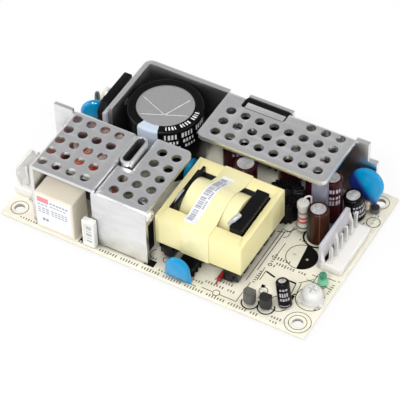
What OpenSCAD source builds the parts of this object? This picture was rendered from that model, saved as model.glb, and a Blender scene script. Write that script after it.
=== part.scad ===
/* [Board] */
// Length of the circuit board along X
board_l = 127; // [127:0.5:130]
// Width of the circuit board along Y
board_w = 76.2; // [76.2:0.1:78]
// Thickness of the circuit board
board_t = 1.6; // [1.6:0.1:1.8]
// Distance of each mounting hole from both board edges
hole_inset = 5.08; // [4.8:0.01:5.2]
// Diameter of the mounting holes
hole_d = 4; // [3.2:0.1:4.2]
// How far the soldered lead ends stand below the board
lead_below = 2; // [1.5:0.1:2.5]

/* [Sheet metal] */
// Height of the rear heatsink above the board's underside
rear_h = 30; // [29.6:0.1:31]
// Height of the front heatsink above the board's underside
front_h = 28.3; // [28.2:0.1:29]
// Height of the input shield above the board's underside
shield_h = 30.2; // [30:0.1:31]
// Sheet thickness of the rear heatsink
rear_t = 2; // [1.6:0.1:2]
// Sheet thickness of the front heatsink
front_t = 1.6; // [1.4:0.1:1.6]
// Sheet thickness of the input shield
shield_t = 1.5; // [1.2:0.1:1.5]
// Pitch of the ventilation holes
vent_pitch = 6.02; // [5.9:0.01:6.05]
// Diameter of the ventilation holes
vent_d = 3.8; // [3:0.1:4]

/* [Capacitors] */
// Radius of the bulk capacitor over its sleeve
bulk_r = 14.6; // [13:0.1:14.6]
// Height of the bulk capacitor's top above the board's underside
bulk_top = 28; // [26:0.1:28.4]
// Radius of the output capacitors over their sleeves
output_cap_r = 4.4; // [4:0.1:4.4]
// Height of the output capacitors' tops above the board's underside
output_cap_top = 21; // [18:0.2:21.4]

/* [Transformer] */
// Length of the taped core along X
core_l = 35; // [34:0.1:35.2]
// Width of the taped core along Y
core_w = 33.2; // [32:0.1:33.2]
// Thickness of the taped core
core_t = 13.7; // [12.5:0.1:13.7]
// Radius of the winding
winding_r = 10.6; // [10:0.1:10.6]
// Number of pins in each row of the bobbin
row_pins = 6; // [4:1:6]

/* [Connectors] */
// Pitch of the header contacts
contact_pitch = 3.96; // [3.9:0.01:3.96]
// Number of contacts in the output header
output_contacts = 6; // [4:1:6]

/* [Trimmer] */
// Radius of the trimmer's turning dome
rotor_r = 3.8; // [3.4:0.05:3.9]
// Running clearance between the dome's bore and its post
rotor_gap = 0.05; // [0.03:0.01:0.08]

/* [Hidden] */
$fn = 48;
top = board_t;
lead_r = 0.3;
tape_t = 0.3;
sleeve_t = 0.25;

// ---- helpers

// Places children at x, y from the board's front left corner and z above its underside
module at(x, y, z = 0) {
    translate([x - board_l / 2, y - board_w / 2, z]) children();
}

// Points of an arc about c
function arc(c, r, a0, a1, n = 8) =
    [for (i = [0:n]) c + r * [cos(a0 + (a1 - a0) * i / n), sin(a0 + (a1 - a0) * i / n)]];

// Flat rectangle with four round corners
module rounded(w, h, r) {
    translate([r, 0]) square([w - 2 * r, h]);
    translate([0, r]) square([w, h - 2 * r]);
    for (x = [r, w - r], y = [r, h - r]) translate([x, y]) circle(r);
}

// Box with round upright edges
module block(l, w, h, r = 0.4) {
    linear_extrude(h) rounded(l, w, r);
}

// Turns a flat outline drawn in X and Z into a bar of length l along +Y
module along_y(l) {
    translate([0, l, 0]) rotate([90, 0, 0]) linear_extrude(l) children();
}

// Turns a flat outline drawn in Y and Z into a bar of length l along +X
module along_x(l) {
    rotate([90, 0, 90]) linear_extrude(l) children();
}

// Moulded box whose upright and upper edges are round
module moulded(l, w, h, r = 0.8) {
    intersection() {
        linear_extrude(h) rounded(l, w, r);
        translate([0, -1, -r]) along_y(w + 2) rounded(l, h + r, r);
        translate([-1, 0, -r]) along_x(l + 2) rounded(w, h + r, r);
    }
}

// Round lead standing on the board
module lead(x, y, z1, r = lead_r) {
    at(x, y, top) cylinder(h = z1 - top, r = r, $fn = 16);
}

// Flat outline of a sheet folded once: t thick, w wide at the top, h tall, r outside the fold at the left
module fold(w, h, t, r) {
    translate([r, h - t]) square([w - r, t]);
    square([t, h - r]);
    translate([r, h - r]) intersection() {
        difference() {
            circle(r);
            circle(r - t);
        }
        translate([-r, 0]) square(r);
    }
}

// Grid of ventilation holes through a flat plate at height z: columns from to, rows from to
module vents(x0, y0, cols, rows, z) {
    for (i = cols, j = rows)
        at(x0 + i * vent_pitch, y0 + j * vent_pitch, z) cylinder(h = 6, d = vent_d, center = true);
}

// Can of an upright electrolytic capacitor, rolled over at the top
module can(r, h, score = 1) {
    difference() {
        rotate_extrude() polygon(concat([[0, 0], [r, 0]], arc([r - 0.8, h - 0.8], 0.8, 0, 90), [[0, h]]));
        if (score > 0) for (a = [0, 90])
            rotate(a) translate([-score, -0.15, h - 0.2]) cube([2 * score, 0.3, 1]);
    }
}

// Shrunk sleeve round a can, turned in over the top edge by lip
module sleeve(r, h, lip = 1.2) {
    rotate_extrude() polygon(concat(
        [[r - sleeve_t, 0.3], [r, 0.3]],
        arc([r - 0.8 - sleeve_t, h - 0.8 - sleeve_t], 0.8 + sleeve_t, 0, 90),
        [[r - lip, h], [r - lip, h - sleeve_t]],
        arc([r - 0.8 - sleeve_t, h - 0.8 - sleeve_t], 0.8, 90, 0)));
}

// Round dipped capacitor of radius r and thickness t, standing up and facing +Y, its centre at the origin
module dipped_disc(r, t) {
    e = t * 0.38;
    rotate([90, 0, 0]) rotate_extrude() polygon(concat([[0, -t / 2]],
        arc([r - e, 0], e, -70, 70), [[0, t / 2]]));
}

// ---- places, from the board's front left corner

vent_shield = [16.11, 7.2];
vent_front = [45.34, 8.69];
vent_rear = [63.75, 50.22];

shield_x = 12.9;
shield_y = 3;
shield_l = 27.3;
shield_w = 32.7;
shield_wing_x = 4;
fold_r = 1.9;
shield_fold_r = 1.6;

front_x = 38.6;
front_y = 3.3;
front_right = 61.4;
front_step_y = 19.8;
front_left = 45.4;
front_back = 38.2;

rear_x = 22.4;
rear_y = 72.1;
rear_plate_x = 58.2;
rear_plate_y = 45.5;
rear_plate_end = 111;
rear_end = 120;
rear_upper_end = 116.4;
rear_step_z = 21.8;
corner_r = 3;
rear_fold_r = 2.6;

bulk = [39.8, 55];
bridge = [17.7, 42, 20.5];
bridge_z = [8, 29];
output_caps = [[66, 60.3], [77, 48.9], [88.5, 62.2], [101, 60.2]];
inductor = [92.8, 50.9];
inductor_r = 7;
rectifier_x = [69.5, 80];
rectifier_z = 5.5;

core_x = 62.5;
core_y = 7.9;
core_z = 10.5;
axis_y = core_y + core_w / 2;
axis_z = core_z + core_t / 2;
pin_row_x = [65.6, 92.2];
function row_y(i) = axis_y + (i - (row_pins - 1) / 2) * 5.08;

choke_legs = [21.4, 32.8];
input_pins = [[3.5, 14.1], [3.5, 22.02]];
output_pins = [for (i = [0:output_contacts - 1]) [120.4, 33.4 + i * contact_pitch]];
trimmer = [121.4, 17];

// ---- circuit board and its solder side

module circuit_board() {
    color("ivory") difference() {
        at(0, 0) cube([board_l, board_w, board_t]);
        for (x = [hole_inset, board_l - hole_inset], y = [hole_inset, board_w - hole_inset])
            at(x, y, -1) cylinder(h = board_t + 2, d = hole_d);
    }
}

solder_points = concat(input_pins, output_pins,
    [for (x = pin_row_x, i = [0:row_pins - 1]) [x, row_y(i)]],
    [for (x = [19, 27.6]) [x, 6]],
    [for (x = choke_legs, y = [14, 31.2]) [x, y]],
    [for (i = [0:3]) [19.4, 45.4 + i * 4.6]],
    [for (s = [-5, 5]) bulk + [0, s]],
    [for (x = rectifier_x, i = [-1:1]) [x + i * 2.54, 67.2]],
    [for (i = [-1:1]) [55.8 + i * 2.54, 7.2]],
    [for (p = output_caps, s = [-1.75, 1.75]) p + [0, s]]);

module solder_joints() {
    color("silver") for (p = solder_points) at(p[0], p[1]) mirror([0, 0, 1])
        rotate_extrude($fn = 16) polygon([[0, 0], [1.2, 0], [0.6, 0.6], [0.4, 1.2],
            [0.4, lead_below], [0, lead_below]]);
}

// ---- headers

contact_w = 1.14;

// Square contact from the board up to height z
module contact(p, z) {
    at(p[0], p[1], top) translate([-contact_w / 2, -contact_w / 2, 0]) {
        cube([contact_w, contact_w, z - top - 0.8]);
        translate([contact_w / 2, contact_w / 2, z - top - 0.8]) rotate(45)
            cylinder(h = 0.8, r1 = contact_w / sqrt(2), r2 = contact_w / 3, $fn = 4);
    }
}

// Friction lock header: a base with a tall wall on its -X side, its rear top corner cut off
module header(l, d, base_h, wall_h, wall_x, wall_t) {
    block(d, l, base_h, 0.3);
    translate([wall_x, 0.3, 0]) along_x(wall_t)
        polygon([[0, 0], [l - 0.6, 0], [l - 0.6, wall_h - 2], [l - 2.4, wall_h], [0, wall_h]]);
    for (y = [0.3, l / 2 - 0.5, l - 1.3])
        translate([wall_x + wall_t, y, base_h]) along_y(1)
            polygon([[0, 0], [1.4, 0], [0, wall_h * 0.45]]);
}

module input_header_housing() {
    color("gainsboro") difference() {
        at(-0.8, 11, top) header(13.9, 9, 3.6, 12.2, 0.1, 1.1);
        for (p = input_pins) at(p[0], p[1], top - 1)
            translate([-contact_w / 2, -contact_w / 2, 0]) cube([contact_w, contact_w, 8]);
        at(-1, 11.8, top + 8.6) cube([2, 1.8, 1.6]);
    }
}

module input_header_pins() {
    color("silver") for (p = input_pins) contact(p, 15);
}

module output_header_housing() {
    color("gainsboro") difference() {
        at(115.9, 31.4, top) header(output_contacts * contact_pitch + 0.2, 9.6, 3.2, 11.7, 0.3, 1.1);
        for (p = output_pins) at(p[0], p[1], top - 1)
            translate([-contact_w / 2, -contact_w / 2, 0]) cube([contact_w, contact_w, 8]);
    }
}

module output_header_pins() {
    color("silver") for (p = output_pins) contact(p, 13);
}

// ---- input filter

module box_capacitor() {
    color("beige") at(15.3, 0.8, top) moulded(16.4, 10.2, 18, 0.7);
}

module box_fuse() {
    color("white") difference() {
        at(35.4, 0.6, top) moulded(5.2, 2.6, 13.2, 0.4);
        at(36.4, 0, top + 1.2) cube([3.2, 1.2, 10.4]);
    }
}

choke = [27.1, 22.6, 14.6];
choke_leg = 4.6;
choke_yoke = 4.4;
choke_l = 20.4;
choke_r = 5.6;

module choke_core() {
    w = choke_legs[1] - choke_legs[0] + choke_leg;
    color("dimgray") difference() {
        at(choke[0] - w / 2, choke[1] - choke_l / 2, choke[2] - choke_leg / 2) block(w, choke_l, choke_leg, 0.8);
        at(choke_legs[0] + choke_leg / 2, choke[1] - choke_l / 2 + choke_yoke, 0)
            cube([w - 2 * choke_leg, choke_l - 2 * choke_yoke, 40]);
    }
}

choke_flange_t = 0.9;
choke_coil_l = choke_l - 2 * choke_yoke - 2 * choke_flange_t - 0.2;

module choke_bobbin() {
    y0 = choke[1] - choke_coil_l / 2 - choke_flange_t;
    color("whitesmoke") difference() {
        union() {
            for (y = [y0, y0 + choke_coil_l + choke_flange_t])
                at(choke[0] - 11, y, top) cube([22, choke_flange_t, 18.6]);
            at(choke[0] - 11, y0, top) cube([22, choke_coil_l + 2 * choke_flange_t, 2.4]);
            for (x = choke_legs) at(x - choke_leg / 2 - 0.6, y0, choke[2] - choke_leg / 2 - 0.6)
                cube([choke_leg + 1.2, choke_coil_l + 2 * choke_flange_t, choke_leg + 1.2]);
        }
        for (x = choke_legs) at(x - choke_leg / 2, y0 - 1, choke[2] - choke_leg / 2)
            cube([choke_leg, choke_coil_l + 4, choke_leg]);
    }
}

choke_turns = 8;

module choke_windings() {
    p = choke_coil_l / choke_turns;
    s = choke_leg / 2 + 0.6;
    color("sienna") for (x = choke_legs) at(x, choke[1] + choke_coil_l / 2, choke[2]) difference() {
        rotate([90, 0, 0]) rotate_extrude() polygon(concat([[0, 0]],
            [for (i = [0:choke_turns - 1], k = [0, 0.25, 0.75]) [k == 0 ? choke_r - 0.4 : choke_r, (i + k) * p]],
            [[choke_r - 0.4, choke_coil_l], [0, choke_coil_l]]));
        translate([-s, -choke_coil_l - 1, -s]) cube([2 * s, choke_coil_l + 2, 2 * s]);
    }
}

// ---- folded sheets

module input_shield() {
    h = shield_h - top;
    x1 = shield_x + shield_l;
    y1 = shield_y + shield_w;
    color("silver") difference() {
        union() {
            at(shield_x, shield_y, top) along_y(shield_w - shield_t - 0.3) fold(10, h, shield_t, shield_fold_r);
            at(shield_x + shield_fold_r, shield_y, shield_h - shield_t)
                cube([shield_l - 2 * shield_fold_r, shield_w - shield_fold_r, shield_t]);
            at(x1, 19.8, top) mirror([1, 0, 0]) along_y(y1 - 19.8 - shield_t - 0.3)
                fold(10, h, shield_t, shield_fold_r);
            at(x1 - shield_fold_r, shield_y, shield_h - shield_t) cube([shield_fold_r - 0.3, 16.9, shield_t]);
            at(shield_x + shield_fold_r, y1, top) mirror([0, 1, 0]) along_x(shield_l - 2 * shield_fold_r)
                fold(10, h, shield_t, shield_fold_r);
            at(shield_wing_x, y1 - shield_t, top)
                cube([shield_l + shield_x - shield_wing_x, shield_t, h - shield_fold_r]);
            at(shield_wing_x, y1 - shield_t, shield_h - shield_fold_r - 0.1)
                cube([shield_x - shield_wing_x - 1, shield_t, shield_fold_r + 0.1]);
        }
        vents(vent_shield[0], vent_shield[1], [0:3], [0:4], shield_h);
        at(x1 - 3, 0, top - 1) cube([6, y1 - 0.6, 12]);
    }
}

module front_heatsink() {
    h = front_h - top;
    leg_z = front_h - front_t;
    color("silver") difference() {
        union() {
            at(front_x, front_y, top) along_x(front_right - front_x) fold(front_step_y - front_y, h, front_t, fold_r);
            at(front_left + fold_r, front_step_y - 1, leg_z)
                block(front_right - front_left - fold_r, front_back - front_step_y + 1, front_t, 2.5);
            at(front_left + fold_r, front_step_y - 1, leg_z) cube([6, front_back - front_step_y + 1 - 0.4, front_t]);
            at(front_left + fold_r, front_step_y - 1, leg_z) cube([front_right - front_left - fold_r, 6, front_t]);
            at(front_left, front_step_y + 0.4, 9) along_y(front_back - front_step_y - 0.4)
                fold(5, front_h - 9, front_t, fold_r);
            at(front_right, 5.1, 20.8) mirror([1, 0, 0]) along_y(4.2) fold(5, front_h - 20.8, front_t, fold_r);
        }
        vents(vent_front[0], vent_front[1], [0:2], [0:1], front_h);
        vents(vent_front[0], vent_front[1], [1:2], [2:4], front_h);
        at(front_x + 5, 0, top - 1) cube([front_right - front_x - 10, front_y + front_t + 1, 1.8]);
        clip_hole();
    }
}

window = [65.5, 66, 18.2, 5.9];
flap = [67.2, 15.9, 3];
pocket_z = [23, 24.2];
pocket_out = 1.2;

module rear_heatsink() {
    h = rear_h - top;
    plate_z = rear_h - rear_t;
    plate_l = rear_plate_end - rear_plate_x;
    color("silver") difference() {
        union() {
            at(rear_x, 42.2, top) cube([rear_t, rear_y - 42.2 - corner_r, h]);
            at(rear_x + corner_r, rear_y - corner_r, top) intersection() {
                difference() {
                    cylinder(h = h, r = corner_r);
                    translate([0, 0, -1]) cylinder(h = h + 2, r = corner_r - rear_t);
                }
                translate([-corner_r, 0, 0]) cube([corner_r, corner_r, h]);
            }
            at(rear_x + corner_r, rear_y - rear_t, top) cube([rear_plate_x - rear_x - corner_r, rear_t, h]);
            at(rear_plate_x, rear_y, top) mirror([0, 1, 0]) along_x(plate_l) fold(8, h, rear_t, rear_fold_r);
            at(rear_plate_end, rear_y - rear_t, top) cube([rear_upper_end - rear_plate_end, rear_t, h]);
            at(rear_upper_end - 1, rear_y - rear_t, top) cube([rear_end - rear_upper_end + 1, rear_t, rear_step_z - top]);
            at(rear_plate_x, rear_plate_y, plate_z) block(plate_l, 12, rear_t, 2.5);
            at(rear_plate_x, rear_plate_y + 3, plate_z) cube([plate_l, rear_y - rear_plate_y - 9, rear_t]);
            at(window[0] + 0.5, rear_y - 0.5, pocket_z[0])
                cube([window[2] + 0.3, pocket_out + 0.5, rear_h - pocket_z[0]]);
            at(104.2, 49.1, top) cube([5.9, 2, plate_z - top + 0.5]);
        }
        vents(vent_rear[0], vent_rear[1], [0:7], [0:2], rear_h);
        vents(vent_rear[0], vent_rear[1], [5:7], [3:3], rear_h);
        difference() {
            at(window[0], window[1], plate_z - 0.4) block(window[2], window[3], 4, 1);
            at(flap[0], window[1] - 1, plate_z - 2) cube([flap[1], flap[2] + 1, 6]);
        }
        at(window[0] + 1.7, rear_y - rear_t - 1, pocket_z[1])
            cube([window[2] - 2.1, window[1] + window[3] - rear_y + rear_t + 1, plate_z - pocket_z[1]]);
        for (x = [34, 76, 98]) at(x, rear_y - 4, top - 1) cube([12, 6, 1.8]);
        at(rear_x - 1, 48, top - 1) cube([4, 12, 1.8]);
        at(rear_x - 1, bridge[1] + 10.25, 25.2) rotate([0, 90, 0]) cylinder(h = 5, r = 1.5);
        for (x = rectifier_x) at(x, rear_y + 1, rectifier_z + 13.2) rotate([90, 0, 0]) cylinder(h = 5, r = 1.5);
    }
}

clip_w = 5.2;

module spring_clip() {
    color("silver") at(40.2, 20, 13) difference() {
        linear_extrude(17.8) rounded(clip_w, 14.7, clip_w / 2 - 0.01);
        translate([0.9, 0.9, -1]) linear_extrude(20) rounded(clip_w - 1.8, 12.9, clip_w / 2 - 0.91);
    }
}

// ---- bridge rectifier and bulk capacitor

bridge_pad_t = 1.4;
bridge_t = rear_x - bridge_pad_t - bridge[0];

module bridge_rectifier() {
    color([0.1, 0.1, 0.11]) difference() {
        union() {
            at(bridge[0], bridge[1], bridge_z[0]) along_x(bridge_t)
                polygon([[0, 0], [bridge[2], 0], [bridge[2], 21], [3, 21], [0, 18]]);
            for (i = [0:3]) at(19.4, 45.4 + i * 4.6, top)
                translate([-0.5, -0.5, 0]) cube([1, 1, bridge_z[0] - top + 0.5]);
        }
        at(bridge[0] - 1, bridge[1] + 10.25, 25.2) rotate([0, 90, 0]) cylinder(h = 6, r = 1.5);
    }
}

module bridge_pad() {
    color("lightgray") difference() {
        at(rear_x - bridge_pad_t, bridge[1] - 1.4, 9) cube([bridge_pad_t, bridge[2], 18.6]);
        at(bridge[0], bridge[1] + 10.25, 25.2) rotate([0, 90, 0]) cylinder(h = 6, r = 1.5);
    }
}

// Pan head screw along +Z: head below z = 0, shank of length l above it
module pan_screw(l, r = 1.5, head_r = 2.75, head_h = 1.9) {
    difference() {
        union() {
            cylinder(h = l, r = r);
            rotate_extrude() polygon(concat([[0, -head_h], [head_r - 1.1, -head_h]],
                arc([head_r - 1.1, -head_h + 1.1], 1.1, -90, 0, 4), [[head_r, 0], [0, 0]]));
        }
        for (a = [0, 90]) rotate(a) translate([-1.5, -0.3, -head_h - 1]) cube([3, 0.6, 1.9]);
    }
}

module bridge_screw() {
    color("silver") at(bridge[0], bridge[1] + 10.25, 25.2) rotate([0, 90, 0])
        pan_screw(bridge_t + bridge_pad_t + rear_t);
}

module inrush_thermistor() {
    color("darkslategray") {
        at(4.6, 62, 7.4) rotate(120.8) dipped_disc(4.3, 2.6);
        for (s = [-1, 1]) at(4.6 + s * 1.28, 62 - s * 2.15, top) cylinder(h = 3, r = lead_r + 0.1, $fn = 16);
    }
}

bulk_lip = 3.6;

module bulk_capacitor_can() {
    r = bulk_r - sleeve_t;
    h = bulk_top - top - sleeve_t;
    p = [2.1, -4.3];
    color("gray") at(bulk[0], bulk[1], top) difference() {
        can(r, h, 0);
        translate([p[0], p[1], h - 0.35]) for (a = [24, 68, 158, 204])
            rotate(a) translate([0, -0.25, 0]) cube([a == 24 ? 9 : a == 204 ? 9 : 13, 0.5, 1]);
    }
}

module bulk_capacitor_sleeve() {
    color([0.08, 0.08, 0.09]) at(bulk[0], bulk[1], top)
        sleeve(bulk_r, bulk_top - top, bulk_lip);
}

// ---- dipped disc capacitors

// Disc on two straight leads: centre height z, turned by a about the upright
module standing_disc(p, z, r, t, a, spacing) {
    at(p[0], p[1], z) rotate(a) dipped_disc(r, t);
    for (s = [-0.5, 0.5]) at(p[0] + s * spacing * cos(a), p[1] + s * spacing * sin(a), top)
        cylinder(h = z - top - r * 0.7, r = lead_r, $fn = 16);
}

module input_disc_capacitor() {
    color("dodgerblue") standing_disc([8.6, 54], 11.3, 5.5, 3.6, 30, 5);
}

module inner_disc_capacitor() {
    color("royalblue") standing_disc([56.8, 43.6], 12.2, 4.6, 3.2, 90, 5);
}

module front_disc_capacitor() {
    color("dodgerblue") hull() {
        at(74.4, 2.9, 7.1) dipped_disc(4.9, 3.6);
        for (s = [-1, 1]) at(74.4 + s * 4.9, 2.9, 2.4) sphere(0.7, $fn = 12);
    }
    color("silver") for (s = [-1, 1]) lead(74.4 + s * 5, 2.9, 2.6);
}

// Dipped disc drawn out to a blob at p, where its leads leave the coat
module drawn_disc(r, t, p) {
    hull($fn = 28) {
        dipped_disc(r, t);
        translate(p) sphere(0.9);
    }
}

module output_disc_capacitor() {
    color("dodgerblue") {
        at(117.9, 66.7, 13.8) rotate(5) rotate([-10, 0, 0]) drawn_disc(6.75, 3.6, [3.7, 0.6, -7.4]);
        lead(122.1, 66.1, 6, 0.35);
    }
}

module ferrite_bead() {
    color("dimgray") at(122.1, 66.1, top) difference() {
        cylinder(h = 2.6, r = 1.65);
        translate([0, 0, -1]) cylinder(h = 5, r = 0.35);
    }
}

// ---- transformer

core_yoke = 2.1;
core_side = 5.6;
core_post_r = 5;

// One half of the core: yoke, two side legs and half of the round centre post
module core_half() {
    l = core_l / 2 - tape_t;
    w = core_w - 2 * tape_t;
    h = core_t - 2 * tape_t;
    at(core_x + tape_t, core_y + tape_t, core_z + tape_t) {
        cube([core_yoke, w, h]);
        cube([l, core_side, h]);
        translate([0, w - core_side, 0]) cube([l, core_side, h]);
        translate([0, w / 2, h / 2]) rotate([0, 90, 0]) cylinder(h = l, r = core_post_r);
    }
}

module core_left() {
    color("dimgray") core_half();
}

module core_right() {
    color("dimgray") translate([2 * (core_x + core_l / 2) - board_l, 0, 0]) mirror([1, 0, 0]) core_half();
}

module core_tape() {
    inset = core_yoke + tape_t;
    side = core_side + tape_t;
    color("khaki") difference() {
        at(core_x, core_y, core_z) cube([core_l, core_w, core_t]);
        at(core_x + tape_t, core_y + tape_t, core_z + tape_t)
            cube([core_l - 2 * tape_t, core_w - 2 * tape_t, core_t - 2 * tape_t]);
        at(core_x + inset, core_y + side, core_z - 1)
            cube([core_l - 2 * inset, core_w - 2 * side, core_t + 2]);
    }
}

coil_x0 = 68.4;
coil_x1 = 89.4;
rail_x = [62.9, coil_x1];
rail_w = coil_x0 - rail_x[0];
rail_l = 30;
tube_r = core_post_r + 1;
flange_t = 1.2;
end_block_l = 5.2;

module transformer_bobbin() {
    half = winding_r;
    color([0.1, 0.1, 0.1]) difference() {
        union() {
            at(coil_x0 - flange_t, axis_y - half, 4) moulded(flange_t, 2 * half, 23.5, 0.5);
            at(coil_x1, axis_y - half, 4) moulded(end_block_l, 2 * half, 22.6, 0.8);
            at(coil_x0, axis_y, axis_z) rotate([0, 90, 0]) cylinder(h = coil_x1 - coil_x0, r = tube_r);
            for (x = rail_x) at(x, axis_y - rail_l / 2, 2.8) cube([rail_w, rail_l, core_z - 2.8]);
        }
        at(coil_x0 - 5, axis_y, axis_z) rotate([0, 90, 0]) cylinder(h = 40, r = core_post_r);
        for (x = [rail_x[0] - 1, rail_x[1] + rail_w - 1.9], i = [0:row_pins]) at(x, row_y(i - 0.5) - 1.1, 1)
            cube([2.9, 2.2, 5.4]);
    }
}

module transformer_pins() {
    color("silver") for (x = pin_row_x, i = [0:row_pins - 1])
        at(x, row_y(i), top) cylinder(h = 1.2, r = 0.45, $fn = 16);
}

module transformer_winding() {
    color("khaki") at(coil_x0, axis_y, axis_z) rotate([0, 90, 0]) difference() {
        cylinder(h = coil_x1 - coil_x0, r = winding_r);
        translate([0, 0, -1]) cylinder(h = coil_x1 - coil_x0 + 2, r = tube_r);
    }
}

// Outline of a band over the winding and the core, g outside them: flat on the side legs, then up to the winding
function band(g) = let (w = core_w / 2 + g, s = core_w / 2 - core_side - tape_t, h = core_t / 2 + g, r = winding_r + g,
    a = atan2(h, s) + acos(r / norm([s, h])))
    concat([[w, -h], [w, h], [s, h]], arc([0, 0], r, a, 180 - a, 16), [[-s, h], [-w, h], [-w, -h], [-s, -h]],
        arc([0, 0], r, 180 + a, 360 - a, 16), [[s, -h]]);

module winding_tape() {
    color("lemonchiffon") at(73, axis_y, axis_z) along_x(11.5) difference() {
        polygon(band(tape_t));
        polygon(band(0.02));
    }
}

// ---- power semiconductors

transistor = [50.7, front_y + front_t, 6.2];

module switching_transistor() {
    color([0.1, 0.1, 0.11]) {
        at(transistor[0], transistor[1], transistor[2]) cube([10.2, 4.4, 14.4]);
        for (i = [-1:1]) at(55.8 + i * 2.54, 7.2, top) translate([-0.4, -0.25, 0])
            cube([0.8, 0.5, transistor[2] - top + 0.5]);
    }
}

clip_screw_y = 6.16;
clip_screw_z = 24.8;

module clip_hole() {
    at(front_right + 1, clip_screw_y, clip_screw_z) rotate([0, -90, 0]) cylinder(h = 6, r = 1.25);
}

module transistor_clip() {
    x = front_right - front_t;
    y = transistor[1] + 4.4;
    color("silver") difference() {
        union() {
            at(x - 0.6, 5.1, 20.8) cube([0.6, y + 0.6 - 5.1, 5.4]);
            at(52, y, 20.8) cube([x - 52, 0.6, 5.4]);
            at(52, y, 12) cube([7.6, 0.6, 9]);
        }
        clip_hole();
    }
}

module clip_screw() {
    color("silver") at(front_right, clip_screw_y, clip_screw_z) rotate([0, -90, 0])
        pan_screw(front_t + 1.4, 1.25, 2.4, 1.1);
}

rectifier_pad_t = 0.3;
tab_t = 1.3;

module output_rectifiers() {
    y = rear_y - rear_t - rectifier_pad_t;
    color([0.12, 0.12, 0.13]) for (x = rectifier_x) difference() {
        union() {
            at(x - 5.1, y - tab_t, rectifier_z) cube([10.2, tab_t, 16]);
            at(x - 5.1, y - 4.4, rectifier_z) cube([10.2, 4.4, 9.4]);
            for (i = [-1:1]) at(x + i * 2.54, 67.2, top) translate([-0.4, -0.25, 0])
                cube([0.8, 0.5, rectifier_z - top + 0.5]);
        }
        at(x, rear_y, rectifier_z + 13.2) rotate([90, 0, 0]) cylinder(h = 6, r = 1.5);
    }
}

module rectifier_pads() {
    color("lightgray") for (x = rectifier_x) difference() {
        at(x - 5.1, rear_y - rear_t - rectifier_pad_t, rectifier_z) cube([10.2, rectifier_pad_t, 17.5]);
        at(x, rear_y, rectifier_z + 13.2) rotate([90, 0, 0]) cylinder(h = 6, r = 1.5);
    }
}

module rectifier_screws() {
    color("silver") for (x = rectifier_x)
        at(x, rear_y - rear_t - rectifier_pad_t - tab_t, rectifier_z + 13.2) rotate([-90, 0, 0])
            pan_screw(tab_t + rectifier_pad_t + rear_t, 1.5, 2.6, 1.6);
}

// ---- output inductor

module inductor_core() {
    color("dimgray") at(inductor[0], inductor[1], top + 0.5) difference() {
        cylinder(h = 9, r = inductor_r - 1.1);
        translate([0, 0, -1]) cylinder(h = 12, r = 2.6);
    }
}

module inductor_winding() {
    turns = 20;
    h = 9;
    r = inductor_r - 1.1;
    color([0.12, 0.12, 0.13]) at(inductor[0], inductor[1], top + 0.5) {
        difference() {
            translate([0, 0, -0.5]) cylinder(h = h + 1, r = r + 0.5);
            cylinder(h = h, r = r);
            translate([0, 0, -1]) cylinder(h = h + 2, r = 2.1);
        }
        for (i = [0:turns - 1]) rotate(i * 330 / turns) {
            translate([r + 0.62, 0, -0.5]) cylinder(h = h + 1, r = 0.6, $fn = 16);
            translate([2.4, 0, h + 0.62]) rotate([0, 90, 0]) cylinder(h = r - 1.9, r = 0.6, $fn = 16);
        }
    }
}

// ---- small electrolytic capacitors

module output_capacitor_cans() {
    color("silver") for (p = output_caps) at(p[0], p[1], top)
        can(output_cap_r - sleeve_t, output_cap_top - top - sleeve_t, 3);
}

module output_capacitor_sleeves() {
    color("maroon") for (p = output_caps) at(p[0], p[1], top) sleeve(output_cap_r, output_cap_top - top);
}

brown = [109.4, 44.6, 4.1, 15.4];
maroon = [108.9, 56.4, 4.1, 20.9];
leaning = [116.6, 60.9, 3.8, 11.2];
small = [114.4, 9.9, 2.5, 11];

module brown_capacitor_can() {
    color("silver") at(brown[0], brown[1], top) can(brown[2] - sleeve_t, brown[3] - sleeve_t, 3);
}

module brown_capacitor_sleeve() {
    color("saddlebrown") at(brown[0], brown[1], top) sleeve(brown[2], brown[3]);
}

module maroon_capacitor_can() {
    color("silver") at(maroon[0], maroon[1], top) can(maroon[2] - sleeve_t, maroon[3] - sleeve_t, 3);
}

module maroon_capacitor_sleeve() {
    color([0.3, 0.08, 0.09]) at(maroon[0], maroon[1], top) sleeve(maroon[2], maroon[3]);
}

// Tilt of the capacitors that lean on their leads
module lean(p, a, dir) {
    at(p[0], p[1], top + p[2] * sin(a) + 0.05) rotate(dir) rotate([0, a, 0]) rotate(-dir) children();
}

module leaning_capacitor_can() {
    color("silver") lean(leaning, 6.5, 235) can(leaning[2] - sleeve_t, leaning[3] - sleeve_t, 3);
    color("silver") for (s = [-1, 1]) lead(leaning[0] + s * 1.2, leaning[1], top + 1.4);
}

module leaning_capacitor_sleeve() {
    color([0.08, 0.08, 0.09]) lean(leaning, 6.5, 235) sleeve(leaning[2], leaning[3]);
}

module small_capacitor_can() {
    color("silver") lean(small, 12, 150) can(small[2] - sleeve_t, small[3] - sleeve_t, 1.6);
    color("silver") for (s = [-1, 1]) lead(small[0] + s * 0.9, small[1], top + 1);
}

module small_capacitor_sleeve() {
    color([0.08, 0.08, 0.09]) lean(small, 12, 150) sleeve(small[2], small[3], 0.6);
}

// ---- resistors, diode and small chips

// Barrel of an axial resistor standing on end, wider at both caps
module barrel(r, h) {
    rotate_extrude() polygon(concat([[0, 0]], arc([r - 0.7, 0.7], 0.7, -90, 0, 5), [[r, 2.4], [r - 0.35, 3.1],
        [r - 0.35, h - 3.1], [r, h - 2.4]], arc([r - 0.7, h - 0.7], 0.7, 0, 90, 5), [[0, h]]));
}

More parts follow.
